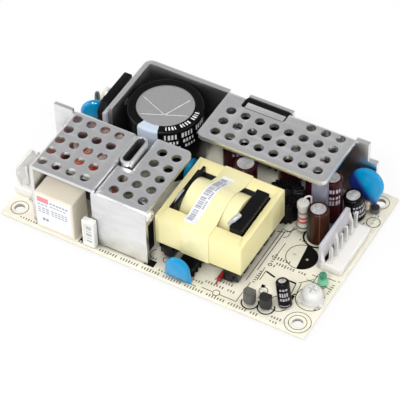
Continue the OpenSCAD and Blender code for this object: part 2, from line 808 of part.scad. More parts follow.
// Wire that rises from height z0, loops over by r and comes down to the board
module hairpin(r, z0, z1, w) {
    translate([0, 0, z0]) cylinder(h = z1 - z0, r = w, $fn = 16);
    translate([2 * r, 0, top]) cylinder(h = z1 - top, r = w, $fn = 16);
    translate([r, 0, z1]) rotate([90, 0, 0]) intersection() {
        rotate_extrude($fn = 32) translate([r, 0]) circle(r = w, $fn = 16);
        translate([-2 * r, 0, -2 * w]) cube([4 * r, 2 * r, 4 * w]);
    }
}

module standing_resistor() {
    color("gainsboro") {
        at(103, 45, 3) barrel(2.3, 14);
        at(103, 45, top) cylinder(h = 1.6, r = 0.4, $fn = 16);
        at(103, 45) rotate(50) hairpin(1.6, 16.8, 17.6, 0.35);
    }
}

module film_resistor() {
    color("wheat") at(119.2, 65.2) {
        translate([0, 0, 2.4]) rotate_extrude() polygon([[0, 0], [0.8, 0], [1.1, 0.4], [1.1, 1], [0.95, 1.2],
            [0.95, 2.8], [1.1, 3], [1.1, 3.5], [0.8, 3.9], [0, 3.9]]);
        translate([0, 0, top]) cylinder(h = 1, r = 0.25, $fn = 16);
    }
}

module small_transistors() {
    for (p = [[102.6, 5, 0], [108.8, 5.6, 1]]) color(p[2] == 0 ? "gray" : "black") {
        at(p[0], p[1], 3.4) linear_extrude(4.6) intersection() {
            circle(2.3);
            translate([-3, -3]) square([6, 4.6]);
        }
        for (s = [-1:1]) lead(p[0] + s * 1.27, p[1] - 0.2, 3.6, 0.25);
    }
}

module optocoupler() {
    color([0.1, 0.1, 0.1]) {
        at(76, 36.6, 2.2) block(4.6, 6.2, 3.3, 0.2);
        for (x = [75.6, 80.5], y = [38.1, 40.7]) at(x, y, top) cube([0.5, 0.6, 2.2]);
    }
}

module control_chip() {
    color([0.1, 0.1, 0.1]) {
        at(72.2, 5.4, 2.2) block(6.4, 9.4, 3.4, 0.2);
        for (i = [0:3], x = [71.7, 78.5]) at(x, 6.1 + i * 2.54, top) cube([0.6, 0.5, 2.4]);
    }
}

module small_diode() {
    color("firebrick") {
        at(87.9, 8.6, 2.6) rotate([-90, 0, 0]) cylinder(h = 3.6, r = 0.9);
        for (y = [7, 13.8]) lead(87.9, y, 2.8, 0.25);
        at(87.9, 6.8, 2.6) rotate([-90, 0, 0]) cylinder(h = 7.2, r = 0.25, $fn = 16);
    }
}

// ---- trimmer and indicator

post_r = 1.4;

module trimmer_base() {
    color("whitesmoke") at(trimmer[0], trimmer[1], top) {
        cylinder(h = 1.6, r = 4.2);
        cylinder(h = 3.6, r = post_r);
        for (a = [100, 220, 340]) rotate(a) translate([3.6, -0.8, 0]) cube([1.7, 1.6, 1]);
    }
}

module trimmer_rotor() {
    color("gainsboro") at(trimmer[0], trimmer[1], top + 1.7) difference() {
        rotate_extrude() polygon(concat([[0, 0], [rotor_r, 0], [rotor_r, 1.4]],
            arc([rotor_r - 2.4, 1.6], 2.4, 0, 70, 6), [[0, 4.2]]));
        translate([0, 0, -1]) cylinder(h = 3.1, r = post_r + rotor_gap);
        for (a = [0, 90]) rotate(a) translate([-1.7, -0.35, 3]) cube([3.4, 0.7, 3]);
    }
}

module indicator_lamp() {
    color("mediumseagreen") at(121.6, 25, 3) {
        cylinder(h = 1, r = 1.9);
        rotate_extrude() polygon(concat([[0, 0], [1.5, 0]], arc([0, 3.6], 1.5, 0, 90, 6)));
        for (s = [-1.27, 1.27]) translate([s, 0, top - 3]) cylinder(h = 1.6, r = lead_r, $fn = 16);
    }
}

circuit_board();
solder_joints();
input_header_housing();
input_header_pins();
output_header_housing();
output_header_pins();
box_capacitor();
box_fuse();
choke_bobbin();
choke_core();
choke_windings();
input_shield();
front_heatsink();
rear_heatsink();
spring_clip();
bridge_rectifier();
bridge_pad();
bridge_screw();
inrush_thermistor();
bulk_capacitor_can();
bulk_capacitor_sleeve();
input_disc_capacitor();
inner_disc_capacitor();
front_disc_capacitor();
output_disc_capacitor();
ferrite_bead();
core_left();
core_right();
transformer_bobbin();
transformer_pins();
transformer_winding();
core_tape();
winding_tape();
switching_transistor();
transistor_clip();
clip_screw();
output_rectifiers();
rectifier_pads();
rectifier_screws();
inductor_core();
inductor_winding();
output_capacitor_cans();
output_capacitor_sleeves();
brown_capacitor_can();
brown_capacitor_sleeve();
maroon_capacitor_can();
maroon_capacitor_sleeve();
leaning_capacitor_can();
leaning_capacitor_sleeve();
small_capacitor_can();
small_capacitor_sleeve();
standing_resistor();
film_resistor();
small_transistors();
optocoupler();
control_chip();
small_diode();
trimmer_base();
trimmer_rotor();
indicator_lamp();
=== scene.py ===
import math

import bmesh
import bpy
from mathutils import Matrix, Vector


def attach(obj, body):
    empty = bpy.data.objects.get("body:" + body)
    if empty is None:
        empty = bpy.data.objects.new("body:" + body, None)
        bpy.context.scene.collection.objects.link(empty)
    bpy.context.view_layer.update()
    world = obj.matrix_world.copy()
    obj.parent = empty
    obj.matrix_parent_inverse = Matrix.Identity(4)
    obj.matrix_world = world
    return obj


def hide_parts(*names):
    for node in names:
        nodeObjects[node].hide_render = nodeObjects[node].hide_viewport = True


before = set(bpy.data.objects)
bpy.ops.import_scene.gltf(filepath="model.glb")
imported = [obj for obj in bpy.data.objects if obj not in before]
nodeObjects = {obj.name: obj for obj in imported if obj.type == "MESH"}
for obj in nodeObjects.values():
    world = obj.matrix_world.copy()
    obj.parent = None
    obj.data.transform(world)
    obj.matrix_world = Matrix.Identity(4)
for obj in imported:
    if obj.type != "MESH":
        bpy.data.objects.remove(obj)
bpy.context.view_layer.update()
print("frame loaded, nodes:", len(nodeObjects))

# Places are given in millimetres from the board's front left corner, heights from its underside
boardCorner = Vector((-0.0635, -0.0381, 0))
boardTop = 1.6
inkThick = 0.03
inkLift = 0.015  # how far the middle of a sleeve's print stands off the sleeve


def spot(x, y, z=0.0):
    return boardCorner + Vector((x, y, z)) / 1000


def addNode(tree, kind, inputs=None, **attributes):
    node = tree.nodes.new("ShaderNode" + kind)
    for key, value in attributes.items():
        setattr(node, key, value)
    for key, value in (inputs or {}).items():
        if isinstance(value, bpy.types.NodeSocket):
            tree.links.new(value, node.inputs[key])
        else:
            node.inputs[key].default_value = value
    return node


def newGroup(name, inputs, outputs):
    tree = bpy.data.node_groups.new(name, "ShaderNodeTree")
    for label, kind, value in inputs:
        socket = tree.interface.new_socket(label, in_out="INPUT", socket_type="NodeSocket" + kind)
        if value is not None:
            socket.default_value = value
    for label, kind in outputs:
        tree.interface.new_socket(label, in_out="OUTPUT", socket_type="NodeSocket" + kind)
    return tree, tree.nodes.new("NodeGroupInput"), tree.nodes.new("NodeGroupOutput")


def mathNode(tree, operation, first, second, clamp=False):
    return addNode(tree, "Math", {0: first, 1: second}, operation=operation, use_clamp=clamp).outputs[0]


def mixColour(tree, factor, first, second):
    inputs = {0: factor, 6: first, 7: second}
    return addNode(tree, "Mix", inputs, data_type="RGBA", blend_type="MIX", clamp_factor=True).outputs[2]


def buildSurfaceGrain():  # colour drift, roughness drift and fine relief of any finish
    tree, into, out = newGroup("surfaceGrain", [
        ("Vector", "Vector", None), ("Colour", "Color", (0.5, 0.5, 0.5, 1)),
        ("Second", "Color", (0.4, 0.4, 0.4, 1)), ("Stretch", "Vector", (1, 1, 1)),
        ("Scale", "Float", 400), ("Amount", "Float", 0.3), ("Roughness", "Float", 0.5),
        ("Spread", "Float", 0.1), ("Relief", "Float", 0.1)],
        [("Colour", "Color"), ("Roughness", "Float"), ("Normal", "Vector")])
    given = into.outputs
    stretched = addNode(tree, "VectorMath", {0: given["Vector"], 1: given["Stretch"]}, operation="MULTIPLY")
    fine = addNode(tree, "TexNoise", {
        "Vector": stretched.outputs[0], "Scale": given["Scale"], "Detail": 4, "Roughness": 0.6})
    wideScale = mathNode(tree, "MULTIPLY", given["Scale"], 0.17)
    wide = addNode(tree, "TexNoise", {
        "Vector": given["Vector"], "Scale": wideScale, "Detail": 3, "Roughness": 0.55})
    fineHalf = mathNode(tree, "MULTIPLY", fine.outputs[0], 0.5)
    wideHalf = mathNode(tree, "MULTIPLY", wide.outputs[0], 0.5)
    both = mathNode(tree, "ADD", fineHalf, wideHalf)
    field = addNode(tree, "MapRange", {"Value": both, "From Min": 0.38, "From Max": 0.62})
    share = mathNode(tree, "MULTIPLY", field.outputs[0], given["Amount"])
    tree.links.new(mixColour(tree, share, given["Colour"], given["Second"]), out.inputs["Colour"])
    drift = mathNode(tree, "MULTIPLY", mathNode(tree, "SUBTRACT", both, 0.5), given["Spread"])
    tree.links.new(mathNode(tree, "ADD", given["Roughness"], drift, clamp=True), out.inputs["Roughness"])
    bump = addNode(tree, "Bump", {
        "Strength": given["Relief"], "Distance": 0.0002, "Height": fine.outputs[0]})
    tree.links.new(bump.outputs[0], out.inputs["Normal"])
    return tree


def buildSideStripe():  # mask of a stripe that runs up a round side between two directions
    tree, into, out = newGroup("sideStripe", [
        ("Vector", "Vector", None), ("Centre", "Vector", (0, 0, 0)),
        ("Start", "Float", 0), ("Width", "Float", 0.5)], [("Mask", "Float")])
    given = into.outputs
    local = addNode(tree, "VectorMath", {0: given["Vector"], 1: given["Centre"]}, operation="SUBTRACT")
    split = addNode(tree, "SeparateXYZ", {0: local.outputs[0]})
    angle = mathNode(tree, "ARCTAN2", split.outputs[1], split.outputs[0])
    turned = mathNode(tree, "SUBTRACT", angle, given["Start"])
    wrapped = addNode(tree, "Math", {0: turned, 1: 2 * math.pi, 2: 0.0}, operation="WRAP")
    tree.links.new(mathNode(tree, "LESS_THAN", wrapped.outputs[0], given["Width"]), out.inputs["Mask"])
    return tree


def buildSpeckle():  # scattered dark specks, as in a resin board
    tree, into, out = newGroup("speckle", [
        ("Vector", "Vector", None), ("Scale", "Float", 900), ("Size", "Float", 0.12)], [("Mask", "Float")])
    given = into.outputs
    cells = addNode(tree, "TexVoronoi", {"Vector": given["Vector"], "Scale": given["Scale"]}, feature="F1")
    tree.links.new(mathNode(tree, "LESS_THAN", cells.outputs["Distance"], given["Size"]), out.inputs["Mask"])
    return tree


def buildEdgeWearAndHighlight():  # brighter corners where the shape turns sharply, partly rubbed wear and partly a painted highlight along the edges
    tree, into, out = newGroup("edgeWearAndHighlight", [
        ("Vector", "Vector", None), ("Radius", "Float", 0.0004), ("Scale", "Float", 700)],
        [("Mask", "Float")])
    given = into.outputs
    geometry = addNode(tree, "NewGeometry")
    rounded = addNode(tree, "Bevel", {"Radius": given["Radius"]}, samples=4)
    turn = addNode(tree, "VectorMath", {0: geometry.outputs["Normal"], 1: rounded.outputs[0]},
                   operation="DOT_PRODUCT")
    edge = addNode(tree, "MapRange", {"Value": turn.outputs["Value"], "From Min": 0.995, "From Max": 0.9})
    broken = addNode(tree, "TexNoise", {"Vector": given["Vector"], "Scale": given["Scale"], "Detail": 3})
    patchy = addNode(tree, "MapRange", {"Value": broken.outputs[0], "From Min": 0.35, "From Max": 0.6})
    tree.links.new(mathNode(tree, "MULTIPLY", edge.outputs[0], patchy.outputs[0]), out.inputs["Mask"])
    return tree


def buildPaintedHollowShade():  # how far a place lies between its neighbours, for painted shade in recesses, under and between parts
    tree, into, out = newGroup("paintedHollowShade", [
        ("Distance", "Float", 0.012), ("Amount", "Float", 0.6)], [("Mask", "Float")])
    given = into.outputs
    around = addNode(tree, "AmbientOcclusion", {"Distance": given["Distance"]}, samples=8)
    depth = addNode(tree, "MapRange", {"Value": around.outputs["AO"], "From Min": 0.66, "From Max": 0.2})
    tree.links.new(mathNode(tree, "MULTIPLY", depth.outputs[0], given["Amount"]), out.inputs["Mask"])
    return tree


surfaceGrain = buildSurfaceGrain()
sideStripe = buildSideStripe()
speckle = buildSpeckle()
edgeWearAndHighlight = buildEdgeWearAndHighlight()
paintedHollowShade = buildPaintedHollowShade()
print("shader groups built")

# The colours given for hollows, with their reach and amount, are painted shade laid into recesses, under and
# between parts.
finishes = {
    "boardResin": {"colour": (0.87, 0.835, 0.71), "second": (0.81, 0.77, 0.62), "scale": 500, "amount": 0.6,
                   "rough": 0.42, "spread": 0.12, "relief": 0.05, "speck": (0.62, 0.58, 0.46),
                   "speckScale": 900, "paintedShade": (0.04, 0.036, 0.03), "paintedShadeReach": 0.010,
    "paintedShadeAmount": 0.9}, "tinned": {"colour": (0.84, 0.83, 0.81), "second": (0.6, 0.59, 0.58), "scale": 1500,
               "rough": 0.36, "spread": 0.2, "relief": 0.12, "metallic": 0.8},
    "nylon": {"colour": (0.84, 0.82, 0.79), "second": (0.77, 0.75, 0.72), "scale": 260, "rough": 0.4,
              "spread": 0.1, "relief": 0.04, "subsurface": 0.3, "radius": 0.003},
    "capacitorBox": {"colour": (0.78, 0.72, 0.59), "second": (0.72, 0.65, 0.51), "scale": 300, "rough": 0.42,
                     "spread": 0.12, "relief": 0.05, "subsurface": 0.05, "radius": 0.001},
    "whiteMoulding": {"colour": (0.80, 0.80, 0.77), "second": (0.70, 0.70, 0.66), "scale": 420, "rough": 0.45,
                      "spread": 0.1, "relief": 0.06},
    "ferrite": {"colour": (0.028, 0.028, 0.031), "second": (0.06, 0.06, 0.064), "scale": 1400, "rough": 0.5,
                "spread": 0.2, "relief": 0.25, "amount": 0.5, "specular": 0.25},
    "copperWire": {"colour": (0.92, 0.20, 0.11), "second": (0.68, 0.13, 0.07), "scale": 700, "rough": 0.3,
                   "spread": 0.2, "relief": 0.06, "metallic": 0.25, "coat": 0.4},
    # the wear colour on aluminium is partly rubbed wear, partly a painted highlight along the edges
    "aluminium": {"colour": (0.87, 0.87, 0.875), "second": (0.70, 0.70, 0.715), "scale": 300, "amount": 0.65,
                  "rough": 0.36, "spread": 0.24, "relief": 0.06, "metallic": 1.0, "stretch": (0.5, 1.4, 1),
                  "wearAndHighlight": (0.97, 0.97, 0.97), "paintedShade": (0.06, 0.06, 0.066), "paintedShadeReach": 0.012,
                  "paintedShadeAmount": 0.7},
    "blackEpoxy": {"colour": (0.003, 0.003, 0.0035), "second": (0.009, 0.009, 0.01), "scale": 900,
                   "rough": 0.42, "spread": 0.2, "relief": 0.15, "specular": 0.12},
    "bobbinPlastic": {"colour": (0.003, 0.003, 0.003), "second": (0.008, 0.008, 0.009), "scale": 800,
                      "rough": 0.28, "spread": 0.2, "relief": 0.1, "specular": 0.16},
    "greyPad": {"colour": (0.46, 0.47, 0.50), "second": (0.36, 0.37, 0.40), "scale": 900, "rough": 0.7,
                "spread": 0.1, "relief": 0.12},
    "greenCoat": {"colour": (0.02, 0.05, 0.04), "second": (0.035, 0.075, 0.06), "scale": 700, "rough": 0.35,
                  "spread": 0.2, "relief": 0.3, "coat": 0.3},
    "canTop": {"colour": (0.62, 0.62, 0.62), "second": (0.52, 0.52, 0.53), "scale": 600, "rough": 0.42,
               "spread": 0.15, "relief": 0.04, "metallic": 0.9},
    "brightCan": {"colour": (0.92, 0.91, 0.90), "second": (0.36, 0.35, 0.36), "scale": 800, "rough": 0.34,
                  "spread": 0.2, "relief": 0.3, "metallic": 0.5, "amount": 0.75},
    "blackSleeve": {"colour": (0.0025, 0.0025, 0.003), "second": (0.006, 0.006, 0.007), "scale": 500,
                    "rough": 0.24, "spread": 0.15, "relief": 0.05, "specular": 0.12},
    "brownSleeve": {"colour": (0.050, 0.015, 0.007), "second": (0.030, 0.009, 0.005), "scale": 500,
                    "rough": 0.24, "spread": 0.15, "relief": 0.05, "specular": 0.18},
    "maroonSleeve": {"colour": (0.040, 0.006, 0.009), "second": (0.020, 0.004, 0.006), "scale": 500,
                     "rough": 0.24, "spread": 0.15, "relief": 0.05, "specular": 0.18},
    "blueLacquer": {"colour": (0.0, 0.29, 0.58), "second": (0.0, 0.23, 0.51), "scale": 260, "rough": 0.14,
                    "spread": 0.1, "relief": 0.1, "coat": 0.5, "specular": 0.3},
    "yellowTape": {"colour": (0.88, 0.81, 0.43), "second": (0.84, 0.74, 0.33), "scale": 220, "rough": 0.3,
                   "spread": 0.2, "relief": 0.16, "coat": 0.25, "stretch": (1, 1, 0.4),
                   "paintedShade": (0.45, 0.36, 0.12), "paintedShadeReach": 0.006, "paintedShadeAmount": 0.6},
    "paleTape": {"colour": (0.87, 0.82, 0.48), "second": (0.82, 0.74, 0.36), "scale": 200, "rough": 0.26,
                 "spread": 0.2, "relief": 0.14, "coat": 0.3, "stretch": (0.4, 1, 1),
                 "paintedShade": (0.50, 0.40, 0.14), "paintedShadeReach": 0.006, "paintedShadeAmount": 0.7},
    "blackEnamel": {"colour": (0.003, 0.003, 0.0035), "second": (0.009, 0.009, 0.01), "scale": 900,
                    "rough": 0.26, "spread": 0.2, "relief": 0.1, "specular": 0.16},
    "greyEpoxy": {"colour": (0.13, 0.127, 0.12), "second": (0.045, 0.044, 0.042), "scale": 900, "rough": 0.5,
                  "stretch": (1, 1, 0.12), "amount": 0.8, "spread": 0.15, "relief": 0.2},
    "tanLacquer": {"colour": (0.62, 0.54, 0.38), "second": (0.5, 0.42, 0.28), "scale": 900, "rough": 0.32,
                   "spread": 0.1, "relief": 0.1},
    "redGlass": {"colour": (0.36, 0.02, 0.025), "second": (0.22, 0.015, 0.015), "scale": 900, "rough": 0.12,
                 "spread": 0.1, "relief": 0.05, "coat": 0.8},
    "greenLens": {"colour": (0.16, 0.55, 0.34), "second": (0.22, 0.62, 0.42), "scale": 700, "rough": 0.14,
                  "spread": 0.05, "relief": 0.03, "subsurface": 0.4, "radius": 0.002, "coat": 0.5},
    "trimmerWhite": {"colour": (0.74, 0.74, 0.72), "second": (0.66, 0.66, 0.64), "scale": 500, "rough": 0.4,
                     "spread": 0.12, "relief": 0.06},
    "legendInk": {"colour": (0.005, 0.005, 0.004), "second": (0.014, 0.013, 0.010), "scale": 1500,
                  "rough": 0.6, "spread": 0.1, "relief": 0.02, "amount": 0.5, "specular": 0.05},
    "labelPaper": {"colour": (0.82, 0.83, 0.86), "second": (0.78, 0.79, 0.82), "scale": 900, "rough": 0.38,
                   "spread": 0.08, "relief": 0.02},
    "labelInk": {"colour": (0.22, 0.23, 0.28), "second": (0.36, 0.37, 0.42), "scale": 1600, "rough": 0.45,
                 "spread": 0.05, "relief": 0.02, "amount": 0.8},
    "mutedRed": {"colour": (0.75, 0.22, 0.24), "second": (0.80, 0.34, 0.35), "scale": 1400, "rough": 0.4,
                 "spread": 0.05, "relief": 0.02, "amount": 0.6},
    "whitePrint": {"colour": (0.86, 0.87, 0.89), "second": (0.4, 0.4, 0.42), "scale": 1300, "rough": 0.35,
                   "spread": 0.05, "relief": 0.02, "amount": 0.5},
    "wireSleeve": {"colour": (0.50, 0.51, 0.53), "second": (0.30, 0.30, 0.33), "scale": 900, "rough": 0.22,
                   "spread": 0.1, "relief": 0.08, "coat": 0.4},
    # bluish grey of the painted reflection on the rear heatsink's front leg
    "legPaintedReflection": {"colour": (0.34, 0.34, 0.44), "second": (0.22, 0.22, 0.31), "scale": 500, "rough": 0.34,
                 "spread": 0.2, "relief": 0.05, "metallic": 0.6},
    "faintInk": {"colour": (0.13, 0.115, 0.085), "second": (0.26, 0.24, 0.18), "scale": 1500, "rough": 0.6,
                 "spread": 0.1, "relief": 0.02, "amount": 0.7, "specular": 0.15},
    "tapeFold": {"colour": (0.62, 0.53, 0.22), "second": (0.72, 0.64, 0.32), "scale": 900, "rough": 0.4,
                 "spread": 0.1, "relief": 0.05, "amount": 0.7},
    "sleevePrint": {"colour": (0.52, 0.50, 0.56), "second": (0.20, 0.18, 0.22), "scale": 1300, "rough": 0.35,
                    "spread": 0.05, "relief": 0.02, "amount": 0.6},
    # black standing in for the shade in the heatsink window's slot: painted shadow
    "slotShadow": {"colour": (0.003, 0.003, 0.003), "second": (0.008, 0.008, 0.008), "scale": 900,
                   "rough": 0.6, "spread": 0.1, "relief": 0.1, "specular": 0.1},
    "resistorBody": {"colour": (0.62, 0.60, 0.57), "second": (0.52, 0.50, 0.47), "scale": 800, "rough": 0.35,
                     "spread": 0.1, "relief": 0.1, "coat": 0.2},
}
# the shield keeps the aluminium's painted shade in its hollows, shorter and weaker
finishes["shieldMetal"] = {**finishes["aluminium"], "paintedShadeReach": 0.004, "paintedShadeAmount": 0.4}

usualLook = {"stretch": (1, 1, 1), "amount": 0.4, "metallic": 0, "coatRough": 0.12}


def startFinish(name, base):
    look = {**usualLook, **finishes[base]}
    material = bpy.data.materials.new(name)
    material.use_nodes = True
    tree = material.node_tree
    shader = tree.nodes["Principled BSDF"]
    place = addNode(tree, "TexCoord").outputs["Object"]
    grain = addNode(tree, "Group", {
        "Vector": place, "Colour": (*look["colour"], 1), "Second": (*look["second"], 1),
        "Stretch": look["stretch"], "Scale": look["scale"], "Amount": look["amount"],
        "Roughness": look["rough"], "Spread": look["spread"], "Relief": look["relief"]},
        node_tree=surfaceGrain)
    tree.links.new(grain.outputs["Roughness"], shader.inputs["Roughness"])
    tree.links.new(grain.outputs["Normal"], shader.inputs["Normal"])
    shader.inputs["Metallic"].default_value = look["metallic"]
    if "specular" in look:
        shader.inputs["Specular IOR Level"].default_value = look["specular"]
    if "coat" in look:
        shader.inputs["Coat Weight"].default_value = look["coat"]
        shader.inputs["Coat Roughness"].default_value = look["coatRough"]
    if "subsurface" in look:
        shader.inputs["Subsurface Weight"].default_value = look["subsurface"]
        shader.inputs["Subsurface Radius"].default_value = (1, 1, 1)
        shader.inputs["Subsurface Scale"].default_value = look["radius"]
    colour = grain.outputs["Colour"]
    if "speck" in look:
        specks = addNode(tree, "Group", {"Vector": place, "Scale": look["speckScale"]}, node_tree=speckle)
        colour = mixColour(tree, specks.outputs["Mask"], colour, (*look["speck"], 1))
    # brighter edges: partly wear, partly a painted highlight
    if "wearAndHighlight" in look:
        wornAndLit = addNode(tree, "Group", {"Vector": place}, node_tree=edgeWearAndHighlight)
        colour = mixColour(tree, wornAndLit.outputs["Mask"], colour, (*look["wearAndHighlight"], 1))
    # painted shade: the colour given for hollows is laid over the colour where neighbours close round a place
    if "paintedShade" in look:
        shadeMask = addNode(tree, "Group", {"Distance": look["paintedShadeReach"], "Amount": look["paintedShadeAmount"]},
                       node_tree=paintedHollowShade)
        colour = mixColour(tree, shadeMask.outputs["Mask"], colour, (*look["paintedShade"], 1))
    return material, place, colour


def closeFinish(material, colour):
    tree = material.node_tree
    tree.links.new(colour, tree.nodes["Principled BSDF"].inputs["Base Color"])
    return material


def plainFinish(name):
    material, _, colour = startFinish(name, name)
    return closeFinish(material, colour)


def stripedSleeve(name, base, centre, stripes):
    material, place, colour = startFinish(name, base)
    tree = material.node_tree
    for first, last, tint in stripes:
        stripe = addNode(tree, "Group", {
            "Vector": place, "Centre": spot(*centre), "Start": math.radians(first),
            "Width": math.radians(last - first)}, node_tree=sideStripe)
        colour = mixColour(tree, stripe.outputs["Mask"], colour, (*tint, 1))
    return closeFinish(material, colour)


def bandedBarrel(name, base, bands):
    material, place, colour = startFinish(name, base)
    tree = material.node_tree
    height = addNode(tree, "SeparateXYZ", {0: place}).outputs[2]
    for low, high, tint in bands:
        above = mathNode(tree, "GREATER_THAN", height, low / 1000)
        below = mathNode(tree, "LESS_THAN", height, high / 1000)
        colour = mixColour(tree, mathNode(tree, "MULTIPLY", above, below), colour, (*tint, 1))
    return closeFinish(material, colour)


def driftedFinish(name, base, axis, start, first, last, tint):
    material, place, colour = startFinish(name, base)
    tree = material.node_tree
    level = Vector(axis).dot(spot(*start))
    along = addNode(tree, "VectorMath", {0: place, 1: axis}, operation="DOT_PRODUCT")
    share = addNode(tree, "MapRange", {
        "Value": along.outputs["Value"], "From Min": level + first / 1000, "From Max": level + last / 1000},
        interpolation_type="SMOOTHSTEP")
    return closeFinish(material, mixColour(tree, share.outputs[0], colour, (*tint, 1)))


stripedSleeves = {  # base, centre, stripes of (first degree, last degree, colour)
    "bulkSleeve": ("blackSleeve", (39.8, 55), [(-106, -72, (0.55, 0.62, 0.72))]),
    # painted light on the brown sleeve: the dark band down its left side is painted shade, the thin lighter
    # line a painted highlight
    "brownSleeveShadeAndSheen": ("brownSleeve", (109.4, 44.6), [
        (-150, -100, (0.012, 0.006, 0.004)), (-58, -54, (0.14, 0.07, 0.04))]),
}
bandedBarrels = {  # base, bands of (lower height, upper height, colour) from the bottom up
    "resistorBands": ("resistorBody", [
        (4.6, 5.5, (0.10, 0.16, 0.06)), (7.2, 8.2, (0.55, 0.05, 0.04)), (9.2, 10.2, (0.55, 0.05, 0.04)),
        (11.8, 12.9, (0.22, 0.21, 0.19))]),
}
driftedFinishes = {  # base, axis, a place, where along the axis from there the tint starts and is full, tint
    # painted reflection: the output disc darkens towards its lower left, where dark parts beside it are
    # mirrored
    "blueLacquerPaintedReflection": ("blueLacquer", (0.75, 0, 0.66), (117.9, 66.7, 13.8), 1.2, -2.2, (0.012, 0.02, 0.16)),
    "twoChips": ("greyEpoxy", (1, 0, 0), (105.6, 0, 0), 0, 0.2, (0.01, 0.01, 0.011)),
    "lampLens": ("greenLens", (0, 0, 1), (0, 0, 0), 4.8, 6.6, (0.02, 0.22, 0.11)),
    "beadFerrite": ("greyEpoxy", (0, 0, 1), (0, 0, 0), 3.4, 4.0, (0.02, 0.02, 0.022)),
    "headerNylon": ("nylon", (1, 0, 0), (117.6, 0, 0), 0, -0.5, (0.50, 0.50, 0.56)),
}

materials = {name: plainFinish(name) for name in finishes}
for name, settings in stripedSleeves.items():
    materials[name] = stripedSleeve(name, *settings)
for name, settings in bandedBarrels.items():
    materials[name] = bandedBarrel(name, *settings)
for name, settings in driftedFinishes.items():
    materials[name] = driftedFinish(name, *settings)
print("finishes built:", len(materials))

nodeFinish = {
    "circuit_board": "boardResin", "solder_joints": "tinned",
    "input_header_housing": "nylon", "input_header_pins": "tinned",
    "output_header_housing": "headerNylon", "output_header_pins": "tinned",
    "box_capacitor": "capacitorBox", "box_fuse": "whiteMoulding",
    "choke_bobbin": "whiteMoulding", "choke_core": "ferrite", "choke_windings": "copperWire",
    "input_shield": "shieldMetal", "front_heatsink": "aluminium", "rear_heatsink": "aluminium",
    "spring_clip": "aluminium",
    "bridge_rectifier": "blackEpoxy", "bridge_pad": "greyPad", "bridge_screw": "tinned",
    "inrush_thermistor": "greenCoat",
    "bulk_capacitor_can": "canTop", "bulk_capacitor_sleeve": "bulkSleeve",
    "input_disc_capacitor": "blueLacquer", "inner_disc_capacitor": "blueLacquer",
    "front_disc_capacitor": "blueLacquer", "output_disc_capacitor": "blueLacquerPaintedReflection",
    "ferrite_bead": "beadFerrite",
    "core_left": "ferrite", "core_right": "ferrite", "transformer_bobbin": "bobbinPlastic",
    "transformer_pins": "tinned", "transformer_winding": "paleTape",
    "core_tape": "yellowTape", "winding_tape": "paleTape",
    "switching_transistor": "blackEpoxy", "transistor_clip": "aluminium", "clip_screw": "tinned",
    "output_rectifiers": "blackEpoxy", "rectifier_pads": "greyPad", "rectifier_screws": "tinned",
    "inductor_core": "ferrite", "inductor_winding": "blackEnamel",
    "output_capacitor_cans": "brightCan", "output_capacitor_sleeves": "maroonSleeve",
    "brown_capacitor_can": "brightCan", "brown_capacitor_sleeve": "brownSleeveShadeAndSheen",
    "maroon_capacitor_can": "brightCan", "maroon_capacitor_sleeve": "maroonSleeve",
    "leaning_capacitor_can": "brightCan", "leaning_capacitor_sleeve": "blackSleeve",
    "small_capacitor_can": "brightCan", "small_capacitor_sleeve": "blackSleeve",
    "standing_resistor": "resistorBands", "film_resistor": "tanLacquer",
    "small_transistors": "twoChips", "optocoupler": "blackEpoxy", "control_chip": "blackEpoxy",
    "small_diode": "redGlass", "trimmer_base": "trimmerWhite", "trimmer_rotor": "trimmerWhite",
    "indicator_lamp": "lampLens",
}

for nodeName, finishName in nodeFinish.items():
    mesh = nodeObjects[nodeName].data
    mesh.materials.clear()
    mesh.materials.append(materials[finishName])
print("CAD nodes dressed:", len(nodeFinish))


def finishPiece(name, bm, finishName, body="frame", smoothAngle=35):
    bmesh.ops.remove_doubles(bm, verts=bm.verts, dist=1e-7)
    bmesh.ops.recalc_face_normals(bm, faces=bm.faces)
    mesh = bpy.data.meshes.new(name)
    bm.to_mesh(mesh)
    bm.free()
    for face in mesh.polygons:
        face.use_smooth = True
    mesh.set_sharp_from_angle(angle=math.radians(smoothAngle))
    mesh.materials.append(materials[finishName])
    piece = bpy.data.objects.new(name, mesh)
    bpy.context.scene.collection.objects.link(piece)
    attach(piece, body)
    return piece


def addSlab(bm, x0, x1, y0, y1, z0, z1):
    middle = spot((x0 + x1) / 2, (y0 + y1) / 2, (z0 + z1) / 2)
    size = Vector((x1 - x0, y1 - y0, z1 - z0)) / 1000
    bmesh.ops.create_cube(bm, size=1, matrix=Matrix.Translation(middle) @ Matrix.Diagonal((*size, 1)))


def addStroke(bm, x0, y0, x1, y1, width, z0=boardTop, height=inkThick):  # straight line on a level face
    length = math.hypot(x1 - x0, y1 - y0)
    middle = spot((x0 + x1) / 2, (y0 + y1) / 2, z0 + height / 2)
    angle = math.atan2(y1 - y0, x1 - x0)
    size = Vector((length, width, height)) / 1000
    matrix = Matrix.Translation(middle) @ Matrix.Rotation(angle, 4, "Z") @ Matrix.Diagonal((*size, 1))
    bmesh.ops.create_cube(bm, size=1, matrix=matrix)


